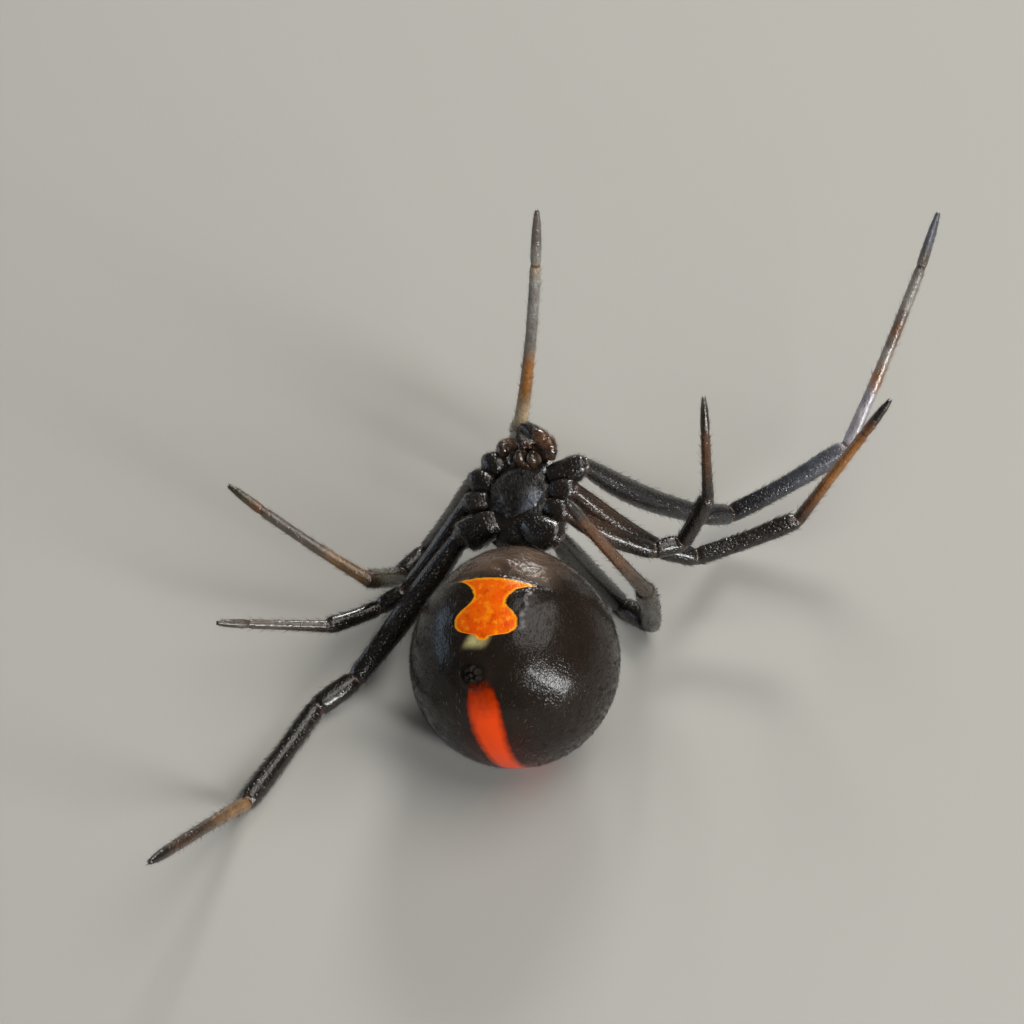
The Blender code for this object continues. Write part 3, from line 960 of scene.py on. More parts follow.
    def build_coat(self, rng: np.random.Generator) -> list[bpy.types.Object]:
        """Very short hair that lies rearwards all over, in the colour of the skin under it, with a few
        silver hairs as painted glints, more towards the rear.

        Args:
            rng: the source of every random draw.

        Returns:
            The coat's meshes.
        """
        out = unit(rng.normal(size=(self.hairs, 3)))
        bare = (self.outline(out)[0] > -0.05) & (rng.random(len(out)) > self.mark_hairs)
        out = out[(out @ self.waist() < math.cos(self.waist_bare)) & ~bare]
        roots = self.surface(out)
        axes = self.body.axes()
        rearward = unit(-axes[0] - out * (-(out @ axes[0]))[:, None] + rng.normal(0, 0.12, out.shape))
        lean = unit(rearward + out * rng.uniform(0.25, 0.6, (len(out), 1)))
        mark, stripe = self.outline(out)
        marked = np.array(Shade.ORANGE.value) * (1 - stripe[:, None])
        marked = marked + np.array(Shade.RED.value) * stripe[:, None]
        colour = np.where(mark[:, None] > 0, marked * 0.9, self.colours(out) * 0.7)
        # A few silver hairs, more of them towards the rear, are painted glints of light.
        chance = 0.02 + 0.06 * smooth_step(45, 65, self.chart(out)[0])
        glint_hairs = (rng.random(len(out)) < chance) & (mark < 0)
        colour[glint_hairs] = np.array(Shade.SILVER.value) * 0.75
        rear, aside = self.chart(out)
        unwrap = np.stack(((rear + 90) / 360, aside / (math.pi * self.mean_radius) + 0.5), 1)
        coat = Coat("abdomen_hair", "abdomen", HairFinish("abdomen_hair", 0.4, 0.35).material())
        length = rng.uniform(*self.hair_lengths, len(out)) * np.where(mark > -0.05, 0.55, 1.0)
        coat.grow(roots, lean, rearward, length, length * 0.024, colour, 0.02 + unwrap * 0.96)
        return coat.build()


def tube_rows(
    start: np.ndarray,
    lean: np.ndarray,
    length: float,
    radius: float,
    profile: tuple[tuple[float, float], ...],
    around: int,
) -> np.ndarray:
    """Rows of points for a straight tube with a given profile.

    Args:
        start: the middle of its root.
        lean: its unit direction.
        length: its length.
        radius: its full radius.
        profile: pairs of a share of the length and a share of the radius.
        around: points in each row.

    Returns:
        Places by row, by turn and by axis.
    """
    side = unit(np.cross(lean, UP + 0.01))
    across = np.cross(lean, side)
    turns = np.arange(around) * 2 * math.pi / around
    ring = side * np.cos(turns)[:, None] + across * np.sin(turns)[:, None]
    return np.array([start + lean * length * t + ring * radius * r for t, r in profile])


@dataclass
class FrontBody:
    """Carapace, sternum, waist and the soft skin that joins them."""

    back: float = -1.62
    front: float = 2.08
    width: float = 3.1
    depth: float = 1.08
    rim: float = -0.3
    blunt: float = 0.8
    rear_cut: float = -0.9
    head_narrowing: float = 0.3
    fovea_depth: float = 0.16
    fovea_place: float = -0.3
    furrows: tuple[float, ...] = (38.0, 78.0, 112.0, 146.0)
    sternum_reach: tuple[float, float] = (-0.78, 0.98)
    sternum_width: float = 2.0
    sternum_edge: float = 0.35
    sternum_crest: float = 0.9
    core_centre: tuple[float, float, float] = (0.1, 0.0, 0.08)
    core_halves: tuple[float, float, float] = (1.62, 1.36, 0.62)
    waist_radii: tuple[float, ...] = (0.4, 0.34, 0.27, 0.24, 0.26, 0.31)
    sternum_hairs: int = 2600
    carapace_hairs: int = 1600
    hair_lengths: tuple[float, float] = (0.12, 0.26)
    eye_radius: float = 0.13
    eye_rows: tuple[tuple[float, tuple[float, float]], ...] = ((-0.5, (0.2, 0.56)), (-0.8, (0.2, 0.48)))

    def shell(self, ball: np.ndarray) -> np.ndarray:
        """Shapes points of the unit half ball into the carapace, in body places."""
        along, aside, height = ball.T
        head = smooth_step(0.1, 0.75, along)
        blunt = np.sign(along) * np.abs(along) ** self.blunt
        width = self.width / 2 * (1 - self.head_narrowing * head)
        depth = self.depth * (0.85 + 0.15 * head)
        steep = np.sign(height) * np.abs(height) ** self.blunt
        dent = self.fovea_depth * hump((along - self.fovea_place) / 0.2) * hump(aside / 0.3)
        angle = np.degrees(np.arctan2(np.abs(aside), along - self.fovea_place))
        away = np.hypot(aside, along - self.fovea_place)
        for furrow in self.furrows:
            groove = hump((angle - furrow) / 7) * smooth_step(0.12, 0.35, away)
            dent = dent + 0.05 * groove * smooth_step(0.95, 0.7, away)
        middle = (self.front + self.back) / 2
        rise = self.rim + steep * depth + dent * smooth_step(0.3, 0.7, -height)
        return np.stack((middle + blunt * (self.front - self.back) / 2, aside * width, rise), 1)

    def build_carapace(self) -> bpy.types.Object:
        """A low shell with a raised head, a central pit and furrows that run out from it."""
        Bench.deselect()
        bpy.ops.mesh.primitive_uv_sphere_add(
            segments=72, ring_count=48, radius=1.0, rotation=(0.0, math.pi / 2, 0.0)
        )
        obj = bpy.context.object
        bpy.ops.object.transform_apply(location=True, rotation=True, scale=True)
        Bench.cut(obj, Vector((0, 0, 0.02)), Vector((0, 0, 1)))
        Bench.cut(obj, Vector((self.rear_cut, 0, 0)), Vector((-1, 0, 0)))
        places = self.shell(Bench.points(obj))
        head = smooth_step(0.4, 1.4, places[:, 0])
        Bench.move_to(obj, PROSOMA.place(places))
        Bench.face_outwards(obj)
        rows = blend(np.array(Shade.SOOT.value), np.array(Shade.UMBER.value), head * 0.6)
        Bench.tint(obj, "tint", rows)
        finish = Cuticle("carapace_cuticle", gloss=(0.18, 0.4), relief=0.01).material()
        return Bench.set_down(obj, "carapace_shell", finish, "carapace", ("carapace",))

    def build_eyes(self) -> bpy.types.Object:
        """Eight small dark eyes in two rows across the front of the head."""
        eyes = []
        for height, offsets in self.eye_rows:
            for offset in offsets:
                for side in Side:
                    along = math.sqrt(1 - height * height - offset * offset)
                    ball = np.array(((along, side.value * offset, height),))
                    place = PROSOMA.place(self.shell(ball))[0]
                    eye = Bench.ball(4)
                    size = self.eye_radius * (1.05 if offset < 0.3 else 0.92)
                    Bench.move_to(eye, place + Bench.points(eye) * size)
                    eyes.append(eye)
        obj = Bench.join(eyes)
        Bench.tint(obj, "tint", np.tile((0.02, 0.012, 0.008), (len(obj.data.vertices), 1)))
        return Bench.set_down(obj, "eyes", EyeFinish().material(), "carapace")

    def sternum_point(self, share: np.ndarray, turn: np.ndarray) -> np.ndarray:
        """A place on the shield between the legs.

        Args:
            share: from 0 at its pointed rear to 1 at the lip.
            turn: from 0 at its right edge over the dome to pi at its left one, then back below.

        Returns:
            Body places.
        """
        start, end = self.sternum_reach
        half = self.sternum_width / 2 * np.sin(math.pi * share**1.25) ** 0.6
        rise = self.sternum_crest * (0.75 + 0.25 * np.sin(math.pi * share)) - self.sternum_edge
        up = np.sin(turn)
        height = np.where(up >= 0, self.sternum_edge + rise * up, self.sternum_edge + up * 0.35)
        notch = 0.04 * hump((np.abs(np.cos(turn)) - 0.92) / 0.1) * np.cos(share * 6.5 * math.pi)
        return np.stack((start + (end - start) * share, -half * np.cos(turn) * (1 + notch), height), -1)

    def sternum_colours(self, share: np.ndarray, turn: np.ndarray) -> np.ndarray:
        """The shield's colour: black, with a bluish-grey painted highlight along its left flank."""
        painted_sheen = smooth_step(0.08, 0.22, share) * smooth_step(0.72, 0.5, share)
        painted_sheen = painted_sheen * hump((turn - 2.35) / 0.3)
        rows = np.tile(Shade.JET.value, (len(share), 1))
        return blend(rows, np.array(Shade.MIST.value), painted_sheen)

    def build_sternum(self) -> bpy.types.Object:
        """The domed shield that the legs stand round."""
        shares = (1 - np.cos(math.pi * np.linspace(0.05, 0.95, 34))) / 2
        turns = np.arange(44) * 2 * math.pi / 44
        grids = np.meshgrid(shares, turns, indexing="ij")
        rows = self.sternum_point(*grids)
        rows = PROSOMA.place(rows.reshape(-1, 3)).reshape(rows.shape)
        obj = Bench.sleeve(rows, rows[0].mean(0), rows[-1].mean(0))
        table = self.sternum_colours(*(grid.ravel() for grid in grids))
        Bench.tint(obj, "tint", table[nearest(Bench.points(obj), rows.reshape(-1, 3))])
        finish = Cuticle("sternum_cuticle", gloss=(0.22, 0.42), relief=0.016, mottle=0.3).material()
        return Bench.set_down(obj, "sternum_shield", finish, "sternum", ("sternum",))

    def build_core(self) -> bpy.types.Object:
        """Soft folded skin between carapace, sternum and leg bases."""
        obj = Bench.ball(5)
        out = unit(Bench.points(obj))
        folds = 1 + 0.02 * np.sin(out[:, 0] * 22) * np.sin(np.arctan2(out[:, 2], out[:, 1]) * 9)
        places = np.array(self.core_centre) + out * np.array(self.core_halves) * folds[:, None]
        Bench.move_to(obj, PROSOMA.place(places))
        Bench.tint(obj, "tint", np.tile(Shade.JET.value, (len(out), 1)))
        finish = Cuticle("soft_skin", gloss=(0.26, 0.46), coat=0.1, relief=0.03, pitting=0.8).material()
        return Bench.set_down(obj, "soft_side_skin", finish, "sternum")

    def build_waist(self, abdomen: Abdomen) -> bpy.types.Object:
        """The narrow waist, which widens into the abdomen's dimple and under the carapace."""
        start = abdomen.surface(abdomen.waist()[None])[0] - abdomen.waist() * 0.2
        end = PROSOMA.place(WAIST_PLACE) + PROSOMA.axes()[0] * 0.25
        lean = unit(end - start)
        steps = np.linspace(0, 1, len(self.waist_radii))
        shares = np.linspace(0, 1, 16)
        radii = np.interp(shares, steps, self.waist_radii) + 0.012 * np.sin(shares * 38)
        profile = tuple(zip(shares, radii))
        rows = tube_rows(start, lean, float(np.linalg.norm(end - start)), 1.0, profile, 24)
        obj = Bench.sleeve(rows, start, end)
        Bench.tint(obj, "tint", np.tile(Shade.UMBER.value, (len(obj.data.vertices), 1)))
        finish = Cuticle("waist_cuticle", gloss=(0.25, 0.45), coat=0.2).material()
        return Bench.set_down(obj, "waist", finish, "sternum", ("pedicel",))

    def build_coat(self, rng: np.random.Generator) -> list[bpy.types.Object]:
        """Stiff forward-leaning hair on the sternum, and sparse hair on the carapace.

        Args:
            rng: the source of every random draw.

        Returns:
            The coat's meshes.
        """
        coat = Coat("front_body_hair", "sternum", HairFinish("front_hair").material())
        count = self.sternum_hairs
        share, turn = rng.uniform(0.03, 0.97, count), rng.uniform(0.05, math.pi - 0.05, count)
        places = self.sternum_point(share, turn)
        step = 0.02
        over = self.sternum_point(share, turn + step) - places
        along = self.sternum_point(np.clip(share + step, 0, 1), turn) - places
        normal = unit(np.cross(along, over))
        normal = normal * np.sign(normal[:, 2:])
        out = PROSOMA.turn(normal)
        forward = PROSOMA.axes()[0] + rng.normal(0, 0.25, out.shape)
        lean = unit(out + forward * 0.5)
        length = rng.uniform(*self.hair_lengths, len(out))
        # The hair takes the shield's colours, with the painted highlight on its flank.
        colour = self.sternum_colours(share, turn)
        colour[rng.random(len(out)) < 0.3] = np.array(Shade.SILVER.value) * 0.45
        unwrap = np.stack((share * 0.4 + 0.05, turn / math.pi * 0.4 + 0.05), 1)
        coat.grow(PROSOMA.place(places), lean, unit(forward), length, length * 0.035, colour, unwrap)
        ball = unit(rng.normal(size=(self.carapace_hairs, 3)))
        ball[:, 2] = -np.abs(ball[:, 2])
        ball = ball[(ball[:, 0] > self.rear_cut) & (ball[:, 2] < -0.08)]
        places = self.shell(ball)
        out = PROSOMA.turn(unit(ball / np.array((self.front, self.width / 2, self.depth))))
        lean = unit(out + PROSOMA.axes()[0] * 0.8 + rng.normal(0, 0.2, out.shape))
        length = rng.uniform(*self.hair_lengths, len(out))
        colour = np.tile(Shade.UMBER.value, (len(out), 1))
        unwrap = np.stack((ball[:, 0] * 0.2 + 0.75, ball[:, 1] * 0.2 + 0.75), 1)
        coat.grow(PROSOMA.place(places), lean, lean, length, length * 0.03, colour, unwrap)
        return coat.build()


@dataclass(frozen=True)
class LegPose:
    """How one leg is held and coloured.

    The turns are headings and pitches in degrees from the femur to the tarsus, and a tint's place
    is the segment's number plus the share of its length.
    """

    side: Side
    pair: int
    femur_root: tuple[float, float]
    turns: tuple[tuple[float, float], ...]
    tints: tuple[tuple[float, Shade], ...]
    shorter: float = 1.0


LEG_POSES = (
    LegPose(
        Side.LEFT, 1, (1.55, 2.0), ((22, -43), (40, -34), (20, 23), (59, 44), (68, 34)),
        # The slate, lilac and ash stops paint a pale bluish reflection into this leg's colour; the amber
        # and chestnut bands are the leg's own colour.
        ((0, Shade.JET), (3.2, Shade.INK), (3.9, Shade.SLATE), (4.04, Shade.SHEEN_LILAC), (4.3, Shade.SHEEN_LILAC),
         (4.36, Shade.AMBER), (4.5, Shade.ASH), (4.66, Shade.CHESTNUT), (4.8, Shade.ASH),
         (5.1, Shade.SMOKE), (5.5, Shade.SLATE)),
    ),
    LegPose(
        Side.LEFT, 2, (0.6, 1.86), ((3, -46), (8, -24), (13, 16), (17, 59), (32, 48)),
        ((0, Shade.JET), (0.9, Shade.SOOT), (1.3, Shade.UMBER), (1.8, Shade.JET), (3.9, Shade.JET),
         (4.05, Shade.UMBER), (4.2, Shade.CHESTNUT), (4.45, Shade.AMBER), (4.9, Shade.AMBER),
         (5.15, Shade.CHESTNUT), (5.5, Shade.SOOT), (6, Shade.JET)),
    ),
    LegPose(
        Side.LEFT, 3, (-0.25, 1.86), ((5, -36), (20, 0), (20, 67), (122, 83), (95, 55)),
        ((0, Shade.JET), (0.9, Shade.SOOT), (1.3, Shade.UMBER), (1.8, Shade.JET), (3.9, Shade.JET),
         (4.1, Shade.SOOT), (4.35, Shade.UMBER), (4.8, Shade.CHESTNUT), (5.1, Shade.UMBER),
         (5.6, Shade.SOOT), (6, Shade.SMOKE)),
    ),
    LegPose(
        Side.LEFT, 4, (-1.2, 1.7), ((30, -61.4), (-50, 14), (-101, 64), (-146, 62), (-170, 62)),
        ((0, Shade.JET), (3.8, Shade.SOOT), (4.2, Shade.UMBER), (4.6, Shade.CHESTNUT),
         (5.0, Shade.CHESTNUT), (5.5, Shade.SOOT), (6, Shade.JET)),
        0.92,
    ),
    LegPose(
        Side.RIGHT, 1, (1.38, 1.46), ((80, -55.1), (74, 22), (-90, 57), (62, 81), (85, 77)),
        # The tan and ash stops paint a pale reflection into this leg's colour; the amber band is the
        # leg's own colour.
        ((0, Shade.JET), (3.9, Shade.SOOT), (4.02, Shade.TAN), (4.14, Shade.TAN), (4.24, Shade.AMBER),
         (4.42, Shade.AMBER), (4.54, Shade.ASH), (4.93, Shade.ASH), (5.0, Shade.TAN),
         (5.1, Shade.ASH), (5.5, Shade.SMOKE), (6, Shade.SMOKE)),
    ),
    LegPose(
        Side.RIGHT, 2, (0.62, 1.86), ((168, -66), (-132, -6), (-112, 44), (157, 25), (150, 22)),
        ((0, Shade.JET), (3.0, Shade.SOOT), (3.7, Shade.OLIVE), (3.98, Shade.UMBER), (4.08, Shade.OCHRE),
         (4.3, Shade.OCHRE), (4.5, Shade.SMOKE), (4.9, Shade.SMOKE), (5.1, Shade.CHESTNUT),
         (5.5, Shade.OLIVE), (6, Shade.SOOT)),
    ),
    LegPose(
        Side.RIGHT, 3, (-0.35, 1.9), ((-139, -40), (-160, -24), (-145, 11), (-165, 19), (-158, 25)),
        ((0, Shade.JET), (3.9, Shade.JET), (4.1, Shade.UMBER), (4.6, Shade.SMOKE), (5.2, Shade.SMOKE),
         (6, Shade.SOOT)),
    ),
    LegPose(
        Side.RIGHT, 4, (-1.55, 1.8), ((-137, -35), (-142, -10), (-119, -2), (-114, 34), (-117, 30)),
        ((0, Shade.JET), (3.96, Shade.JET), (4.03, Shade.OCHRE), (4.3, Shade.OCHRE),
         (4.65, Shade.UMBER), (5.05, Shade.UMBER), (5.4, Shade.SOOT), (6, Shade.JET)),
    ),
)


@dataclass
class Leg:
    """One leg: a smooth skin from coxa to foot with a groove at each joint, its coat and claws."""

    pose: LegPose
    lengths: dict[int, tuple[float, ...]] = field(
        default_factory=lambda: {
            1: (6.2, 1.6, 4.8, 6.8, 2.2),
            2: (4.3, 1.4, 3.8, 4.2, 1.6),
            3: (3.6, 1.1, 2.2, 2.8, 1.35),
            4: (6.0, 1.7, 4.6, 5.7, 1.75),
        }
    )
    stoutness: dict[int, float] = field(default_factory=lambda: {1: 1.0, 2: 0.94, 3: 0.86, 4: 1.04})
    coxa_stoutness: dict[int, float] = field(
        default_factory=lambda: {1: 1.25, 2: 1.24, 3: 1.2, 4: 1.6}
    )
    coxa_roots: dict[int, tuple[float, float]] = field(
        default_factory=lambda: {1: (1.0, 0.84), 2: (0.5, 1.06), 3: (-0.1, 1.06), 4: (-0.82, 0.5)}
    )
    coxa_level: float = 0.45
    femur_level: float = 0.3
    radii: tuple[tuple[float, ...], ...] = (
        (0.26, 0.35, 0.39, 0.39, 0.35),
        (0.32, 0.41, 0.44, 0.42, 0.38, 0.35),
        (0.35, 0.38, 0.39, 0.36),
        (0.34, 0.34, 0.33, 0.34, 0.37, 0.32),
        (0.255, 0.22, 0.205, 0.195, 0.195),
        (0.195, 0.19, 0.175, 0.15, 0.085),
    )
    bows: tuple[float, ...] = (0.0, 0.035, 0.0, 0.02, 0.02, 0.0)
    neck: float = 0.88
    groove: tuple[float, float] = (0.01, 0.2)
    foot_end: float = 0.17
    around: int = 24
    end_rows: tuple[float, ...] = (0.03, 0.06, 0.09, 0.13, 0.18, 0.26)
    row_spacing: float = 0.3
    claw_length: float = 0.12
    # Hairs to a square millimetre, and the range of their lengths, by segment
    densities: tuple[float, ...] = (110, 60, 70, 90, 100, 150)
    hair_lengths: tuple[tuple[float, float], ...] = (
        (0.08, 0.17), (0.09, 0.2), (0.09, 0.2), (0.1, 0.22), (0.09, 0.19), (0.07, 0.14),
    )
    bristle_rows: int = 6
    bristle_spacing: float = 0.42
    bristle_lengths: tuple[float, float] = (0.24, 0.36)
    hair_thickness: float = 0.024
    comb: tuple[int, float, float] = (14, 0.26, 0.012)
    coxa_bare: float = 0.45

    def __post_init__(self) -> None:
        """Works out joints, axes, bend planes and the directions across each segment."""
        pair, sign = self.pose.pair, self.pose.side.value
        root_along, root_out = self.coxa_roots[pair]
        femur_along, femur_out = self.pose.femur_root
        joints = [
            PROSOMA.place((root_along, sign * root_out, self.coxa_level)),
            PROSOMA.place((femur_along, sign * femur_out, self.femur_level)),
        ]
        for turns, length in zip(self.pose.turns, self.lengths[pair]):
            joints.append(joints[-1] + direction(*turns) * length * self.pose.shorter)
        self.joints = np.array(joints)
        steps = np.diff(self.joints, axis=0)
        self.length = np.linalg.norm(steps, axis=1)
        self.axes = unit(steps)
        self.first = unit(np.vstack((self.axes[:1], self.axes[:-1])) + self.axes)
        self.last = unit(self.axes + np.vstack((self.axes[1:], self.axes[-1:])))
        across = [unit(np.cross(self.axes[0], UP))]
        for normal in self.last[:-1]:
            across.append(across[-1] - 2 * (across[-1] @ normal) * normal)
        self.across = np.array(across)
        self.aside = np.cross(self.axes, self.across)
        stout = [self.coxa_stoutness[pair]] + [self.stoutness[pair]] * 5
        self.widths = [np.array(row) * s * SKIN_SHARE for row, s in zip(self.radii, stout)]
        ends = [row[-1] for row in self.widths[:-1]]
        starts = [row[0] for row in self.widths[1:]]
        necks = [self.neck * (a + b) / 2 for a, b in zip(ends, starts)]
        self.start_radii = np.array([self.widths[0][0]] + necks)
        self.end_radii = np.array(necks + [self.widths[-1][-1]])
        to_foot = self.joints[-1] - self.joints[:-1]
        along = np.sum(to_foot * self.axes, axis=1, keepdims=True)
        knee_side = unit(self.axes * along - to_foot)
        self.bow = knee_side * (np.array(self.bows) * self.length)[:, None]

    @property
    def name(self) -> str:
        """The leg's name, as in the solids."""
        return f"leg_{self.pose.side.name.lower()}_{self.pose.pair}"

    def radius(self, part: np.ndarray, share: np.ndarray) -> np.ndarray:
        """The skin's radius.

        Args:
            part: each point's segment.
            share: how far along that segment it is.

        Returns:
            Radii, with a neck at each joint.
        """
        result = np.empty(len(part))
        for k, row in enumerate(self.widths):
            here = part == k
            near, far = share[here] * self.length[k], (1 - share[here]) * self.length[k]
            full = np.interp(share[here], np.linspace(0, 1, len(row)), row)
            bend = np.interp(share[here], np.linspace(0, 1, len(row) * 2 - 1), self.rounded(row))
            full = (full + bend) / 2
            open_near = smooth_step(*self.groove, near) if k else np.ones(len(near))
            open_far = smooth_step(*self.groove, far) if k < 5 else np.ones(len(far))
            width = self.start_radii[k] + (full - self.start_radii[k]) * open_near
            result[here] = self.end_radii[k] + (width - self.end_radii[k]) * open_far
        return result

    @staticmethod
    def rounded(row: np.ndarray) -> np.ndarray:
        """Twice as many radii, with the corners of the profile cut."""
        middle = (row[:-1] + row[1:]) / 2
        kept = row.copy()
        kept[1:-1] = (middle[:-1] + middle[1:] + 2 * row[1:-1]) / 4
        result = np.empty(len(row) * 2 - 1)
        result[::2] = kept
        result[1::2] = middle
        return result

    def surface(
        self, part: np.ndarray, share: np.ndarray, turn: np.ndarray
    ) -> tuple[np.ndarray, np.ndarray]:
        """Places on the skin.

        Args:
            part: each point's segment.
            share: how far along that segment it is.
            turn: its angle round the segment, in radians.

        Returns:
            The places, and the unit directions outwards from the segment's axis.
        """
        out = self.across[part] * np.cos(turn)[:, None] + self.aside[part] * np.sin(turn)[:, None]
        axis, first, last = self.axes[part], self.first[part], self.last[part]
        low = -self.start_radii[part] * np.sum(out * first, 1) / np.sum(axis * first, 1)
        high = self.length[part] - np.where(part == 5, self.foot_end, 0.0)
        high = high - self.end_radii[part] * np.sum(out * last, 1) / np.sum(axis * last, 1)
        reach = low + (high - low) * share
        middle = self.joints[part] + self.bow[part] * np.sin(math.pi * share)[:, None]
        points = middle + axis * reach[:, None] + out * self.radius(part, share)[:, None]
        points[:, 2] = np.maximum(points[:, 2], 0.0)
        return points, out

    def rows(self) -> tuple[np.ndarray, np.ndarray]:
        """The segment and the share of each row of the skin, closer together at the joints."""
        parts, shares = [], []
        for k, length in enumerate(self.length):
            count = max(int((length - 0.6) / self.row_spacing), 2)
            middle = np.linspace(0.4, length - 0.4, count) if length > 0.9 else [length / 2]
            ends = np.array(self.end_rows)
            places = np.concatenate(([0.0], ends, middle, (length - ends)[::-1], [length]))
            places = places[(1 if k else 0):] / length
            parts += [k] * len(places)
            shares += list(np.sort(places))
        return np.array(parts), np.array(shares)

    def colours(self, part: np.ndarray, share: np.ndarray) -> np.ndarray:
        """The skin's colour along the leg, with paler membrane in the joints."""
        stops = [place for place, _ in self.pose.tints]
        table = np.array([shade.value for _, shade in self.pose.tints])
        place = part + share
        rows = np.stack([np.interp(place, stops, table[:, k]) for k in range(3)], 1)
        length = self.length[part]
        near = np.where(part > 0, share * length, 9.0)
        far = np.where(part < 5, (1 - share) * length, 9.0)
        joint = smooth_step(0.09, 0.03, np.minimum(near, far))
        return blend(rows, np.array(Shade.MEMBRANE.value), joint * 0.8)

    def build_skin(self, finish: bpy.types.Material) -> bpy.types.Object:
        """One closed skin over all six segments."""
        parts, shares = self.rows()
        turns = np.arange(self.around) * 2 * math.pi / self.around
        part = np.repeat(parts, self.around)
        share = np.repeat(shares, self.around)
        points, _ = self.surface(part, share, np.tile(turns, len(parts)))
        rows = points.reshape(len(parts), self.around, 3)
        foot = rows[-1].mean(0) + self.axes[-1] * 0.02
        obj = Bench.sleeve(rows, rows[0].mean(0), foot)
        placed = Bench.points(obj)
        table = self.colours(part, share)
        Bench.tint(obj, "tint", table[nearest(placed, points)])
        nodes = tuple(f"{self.name}_{segment.name.lower()}" for segment in Segment)
        return Bench.set_down(obj, f"{self.name}_skin", finish, "leg", nodes)

    def build_claws(self, finish: bpy.types.Material) -> bpy.types.Object:
        """Two curved claws and a small middle one at the foot."""
        tip = self.joints[-1] - self.axes[-1] * (self.foot_end + 0.03)
        inward = -unit(self.bow[4])
        side = unit(np.cross(self.axes[-1], inward))
        claws = []
        for away, size in ((-0.045, 1.0), (0.045, 1.0), (0.0, 0.6)):
            start = tip + side * away
            length = self.claw_length * size
            rows = []
            for share in np.linspace(0, 1, 7):
                curl = share * share * 0.45
                middle = start + (self.axes[-1] * (share - 0.3 * curl) + inward * curl) * length
                heading = unit(self.axes[-1] * (1 - 0.5 * share) + inward * share)
                profile = ((0.0, 1.0),)
                rows.append(tube_rows(middle, heading, 1.0, 0.032 * size * (1.02 - share), profile, 8)[0])
            rows = np.array(rows)
            claws.append(Bench.sleeve(rows, rows[0].mean(0), rows[-1].mean(0)))
        obj = Bench.join(claws)
        Bench.tint(obj, "tint", np.tile(Shade.SOOT.value, (len(obj.data.vertices), 1)))
        return Bench.set_down(obj, f"{self.name}_claws", finish, "tarsus")

    def build_coat(self, rng: np.random.Generator, finish: bpy.types.Material) -> list[bpy.types.Object]:
        """Fine hair all over and rows of longer bristles, all leaning towards the foot.

        The fourth pair also has a comb of stouter bristles along the inside of the foot.

        Args:
            rng: the source of every random draw.
            finish: the hairs' material.

        Returns:
            The coat's meshes.
        """
        coat = Coat(f"{self.name}_hair", "leg", finish)
        for k in range(6):
            mean = float(self.widths[k].mean())
            count = int(self.densities[k] * 2 * math.pi * mean * self.length[k])
            low = self.coxa_bare if k == 0 else 0.03
            share, turn = rng.uniform(low, 0.97, count), rng.uniform(0, 2 * math.pi, count)
            length = rng.uniform(*self.hair_lengths[k], count)
            thick = length * self.hair_thickness
            self._grow(coat, rng, k, share, turn, length, thick, (0.35, 0.8))
            rows = np.arange(self.bristle_rows) * 2 * math.pi / self.bristle_rows
            if k in (0, 5):
                continue
            steps = np.arange(0.1, self.length[k] - 0.1, self.bristle_spacing) / self.length[k]
            share, turn = (grid.ravel() for grid in np.meshgrid(steps, rows, indexing="ij"))
            share = np.clip(share + rng.normal(0, 0.012, len(share)), 0.04, 0.97)
            turn = turn + rng.normal(0, 0.08, len(turn))
            length = rng.uniform(*self.bristle_lengths, len(turn))
            thick = length * self.hair_thickness
            self._grow(coat, rng, k, share, turn, length, thick, (0.4, 0.7))
        if self.pose.pair == 4:
            count, tall, wide = self.comb
            share, turn = np.linspace(0.06, 0.9, count), np.full(count, self._inner_turn(5))
            length, thick = np.full(count, tall), np.full(count, wide)
            self._grow(coat, rng, 5, share, turn, length, thick, (0.7, 0.8))
        return coat.build()

    def _inner_turn(self, part: int) -> float:
        """The angle round a segment that faces the inside of the leg's curve."""
        inward = -unit(self.bow[4])
        return math.atan2(float(inward @ self.aside[part]), float(inward @ self.across[part]))

    def _grow(
        self,
        coat: Coat,
        rng: np.random.Generator,
        part: int,
        share: np.ndarray,
        turn: np.ndarray,
        length: np.ndarray,
        thick: np.ndarray,
        stand: tuple[float, float],
    ) -> None:
        """Adds hairs of one segment.

        Args:
            coat: what they are added to.
            rng: the source of every random draw.
            part: the segment.
            share: how far along it each hair is.
            turn: each hair's angle round it, in radians.
            length: lengths.
            thick: radii at the root.
            stand: the range of slopes at which they stand off the skin.
        """
        parts = np.full(len(share), part)
        roots, out = self.surface(parts, share, turn)
        axis = self.axes[parts]
        lean = unit(axis + out * rng.uniform(*stand, (len(share), 1)) + rng.normal(0, 0.08, out.shape))
        colour = self.colours(parts, np.clip(share, 0.1, 0.9)) * 0.9 + np.array((0.008, 0.004, 0.0015))
        # One hair in twenty is paled towards silver as a painted glint.
        glint_hairs = rng.random(len(share)) < 0.05
        colour[glint_hairs] = colour[glint_hairs] * 0.4 + np.array(Shade.SILVER.value) * 0.3
        unwrap = np.stack((turn % (2 * math.pi) / (2 * math.pi), (part + share) / 6), 1)
        coat.grow(roots, lean, axis, length, thick, colour, 0.03 + unwrap * 0.94)


def nearest(places: np.ndarray, table: np.ndarray) -> np.ndarray:
    """Finds each place's nearest point in a table.

    Args:
        places: places, one a row.
        table: points, one a row.

    Returns:
        The number of the table's row for each place.
    """
    found = np.empty(len(places), int)
    for start in range(0, len(places), 400):
        some = places[start : start + 400]
        gaps = np.sum((some[:, None] - table[None]) ** 2, axis=2)
        found[start : start + 400] = np.argmin(gaps, axis=1)
    return found


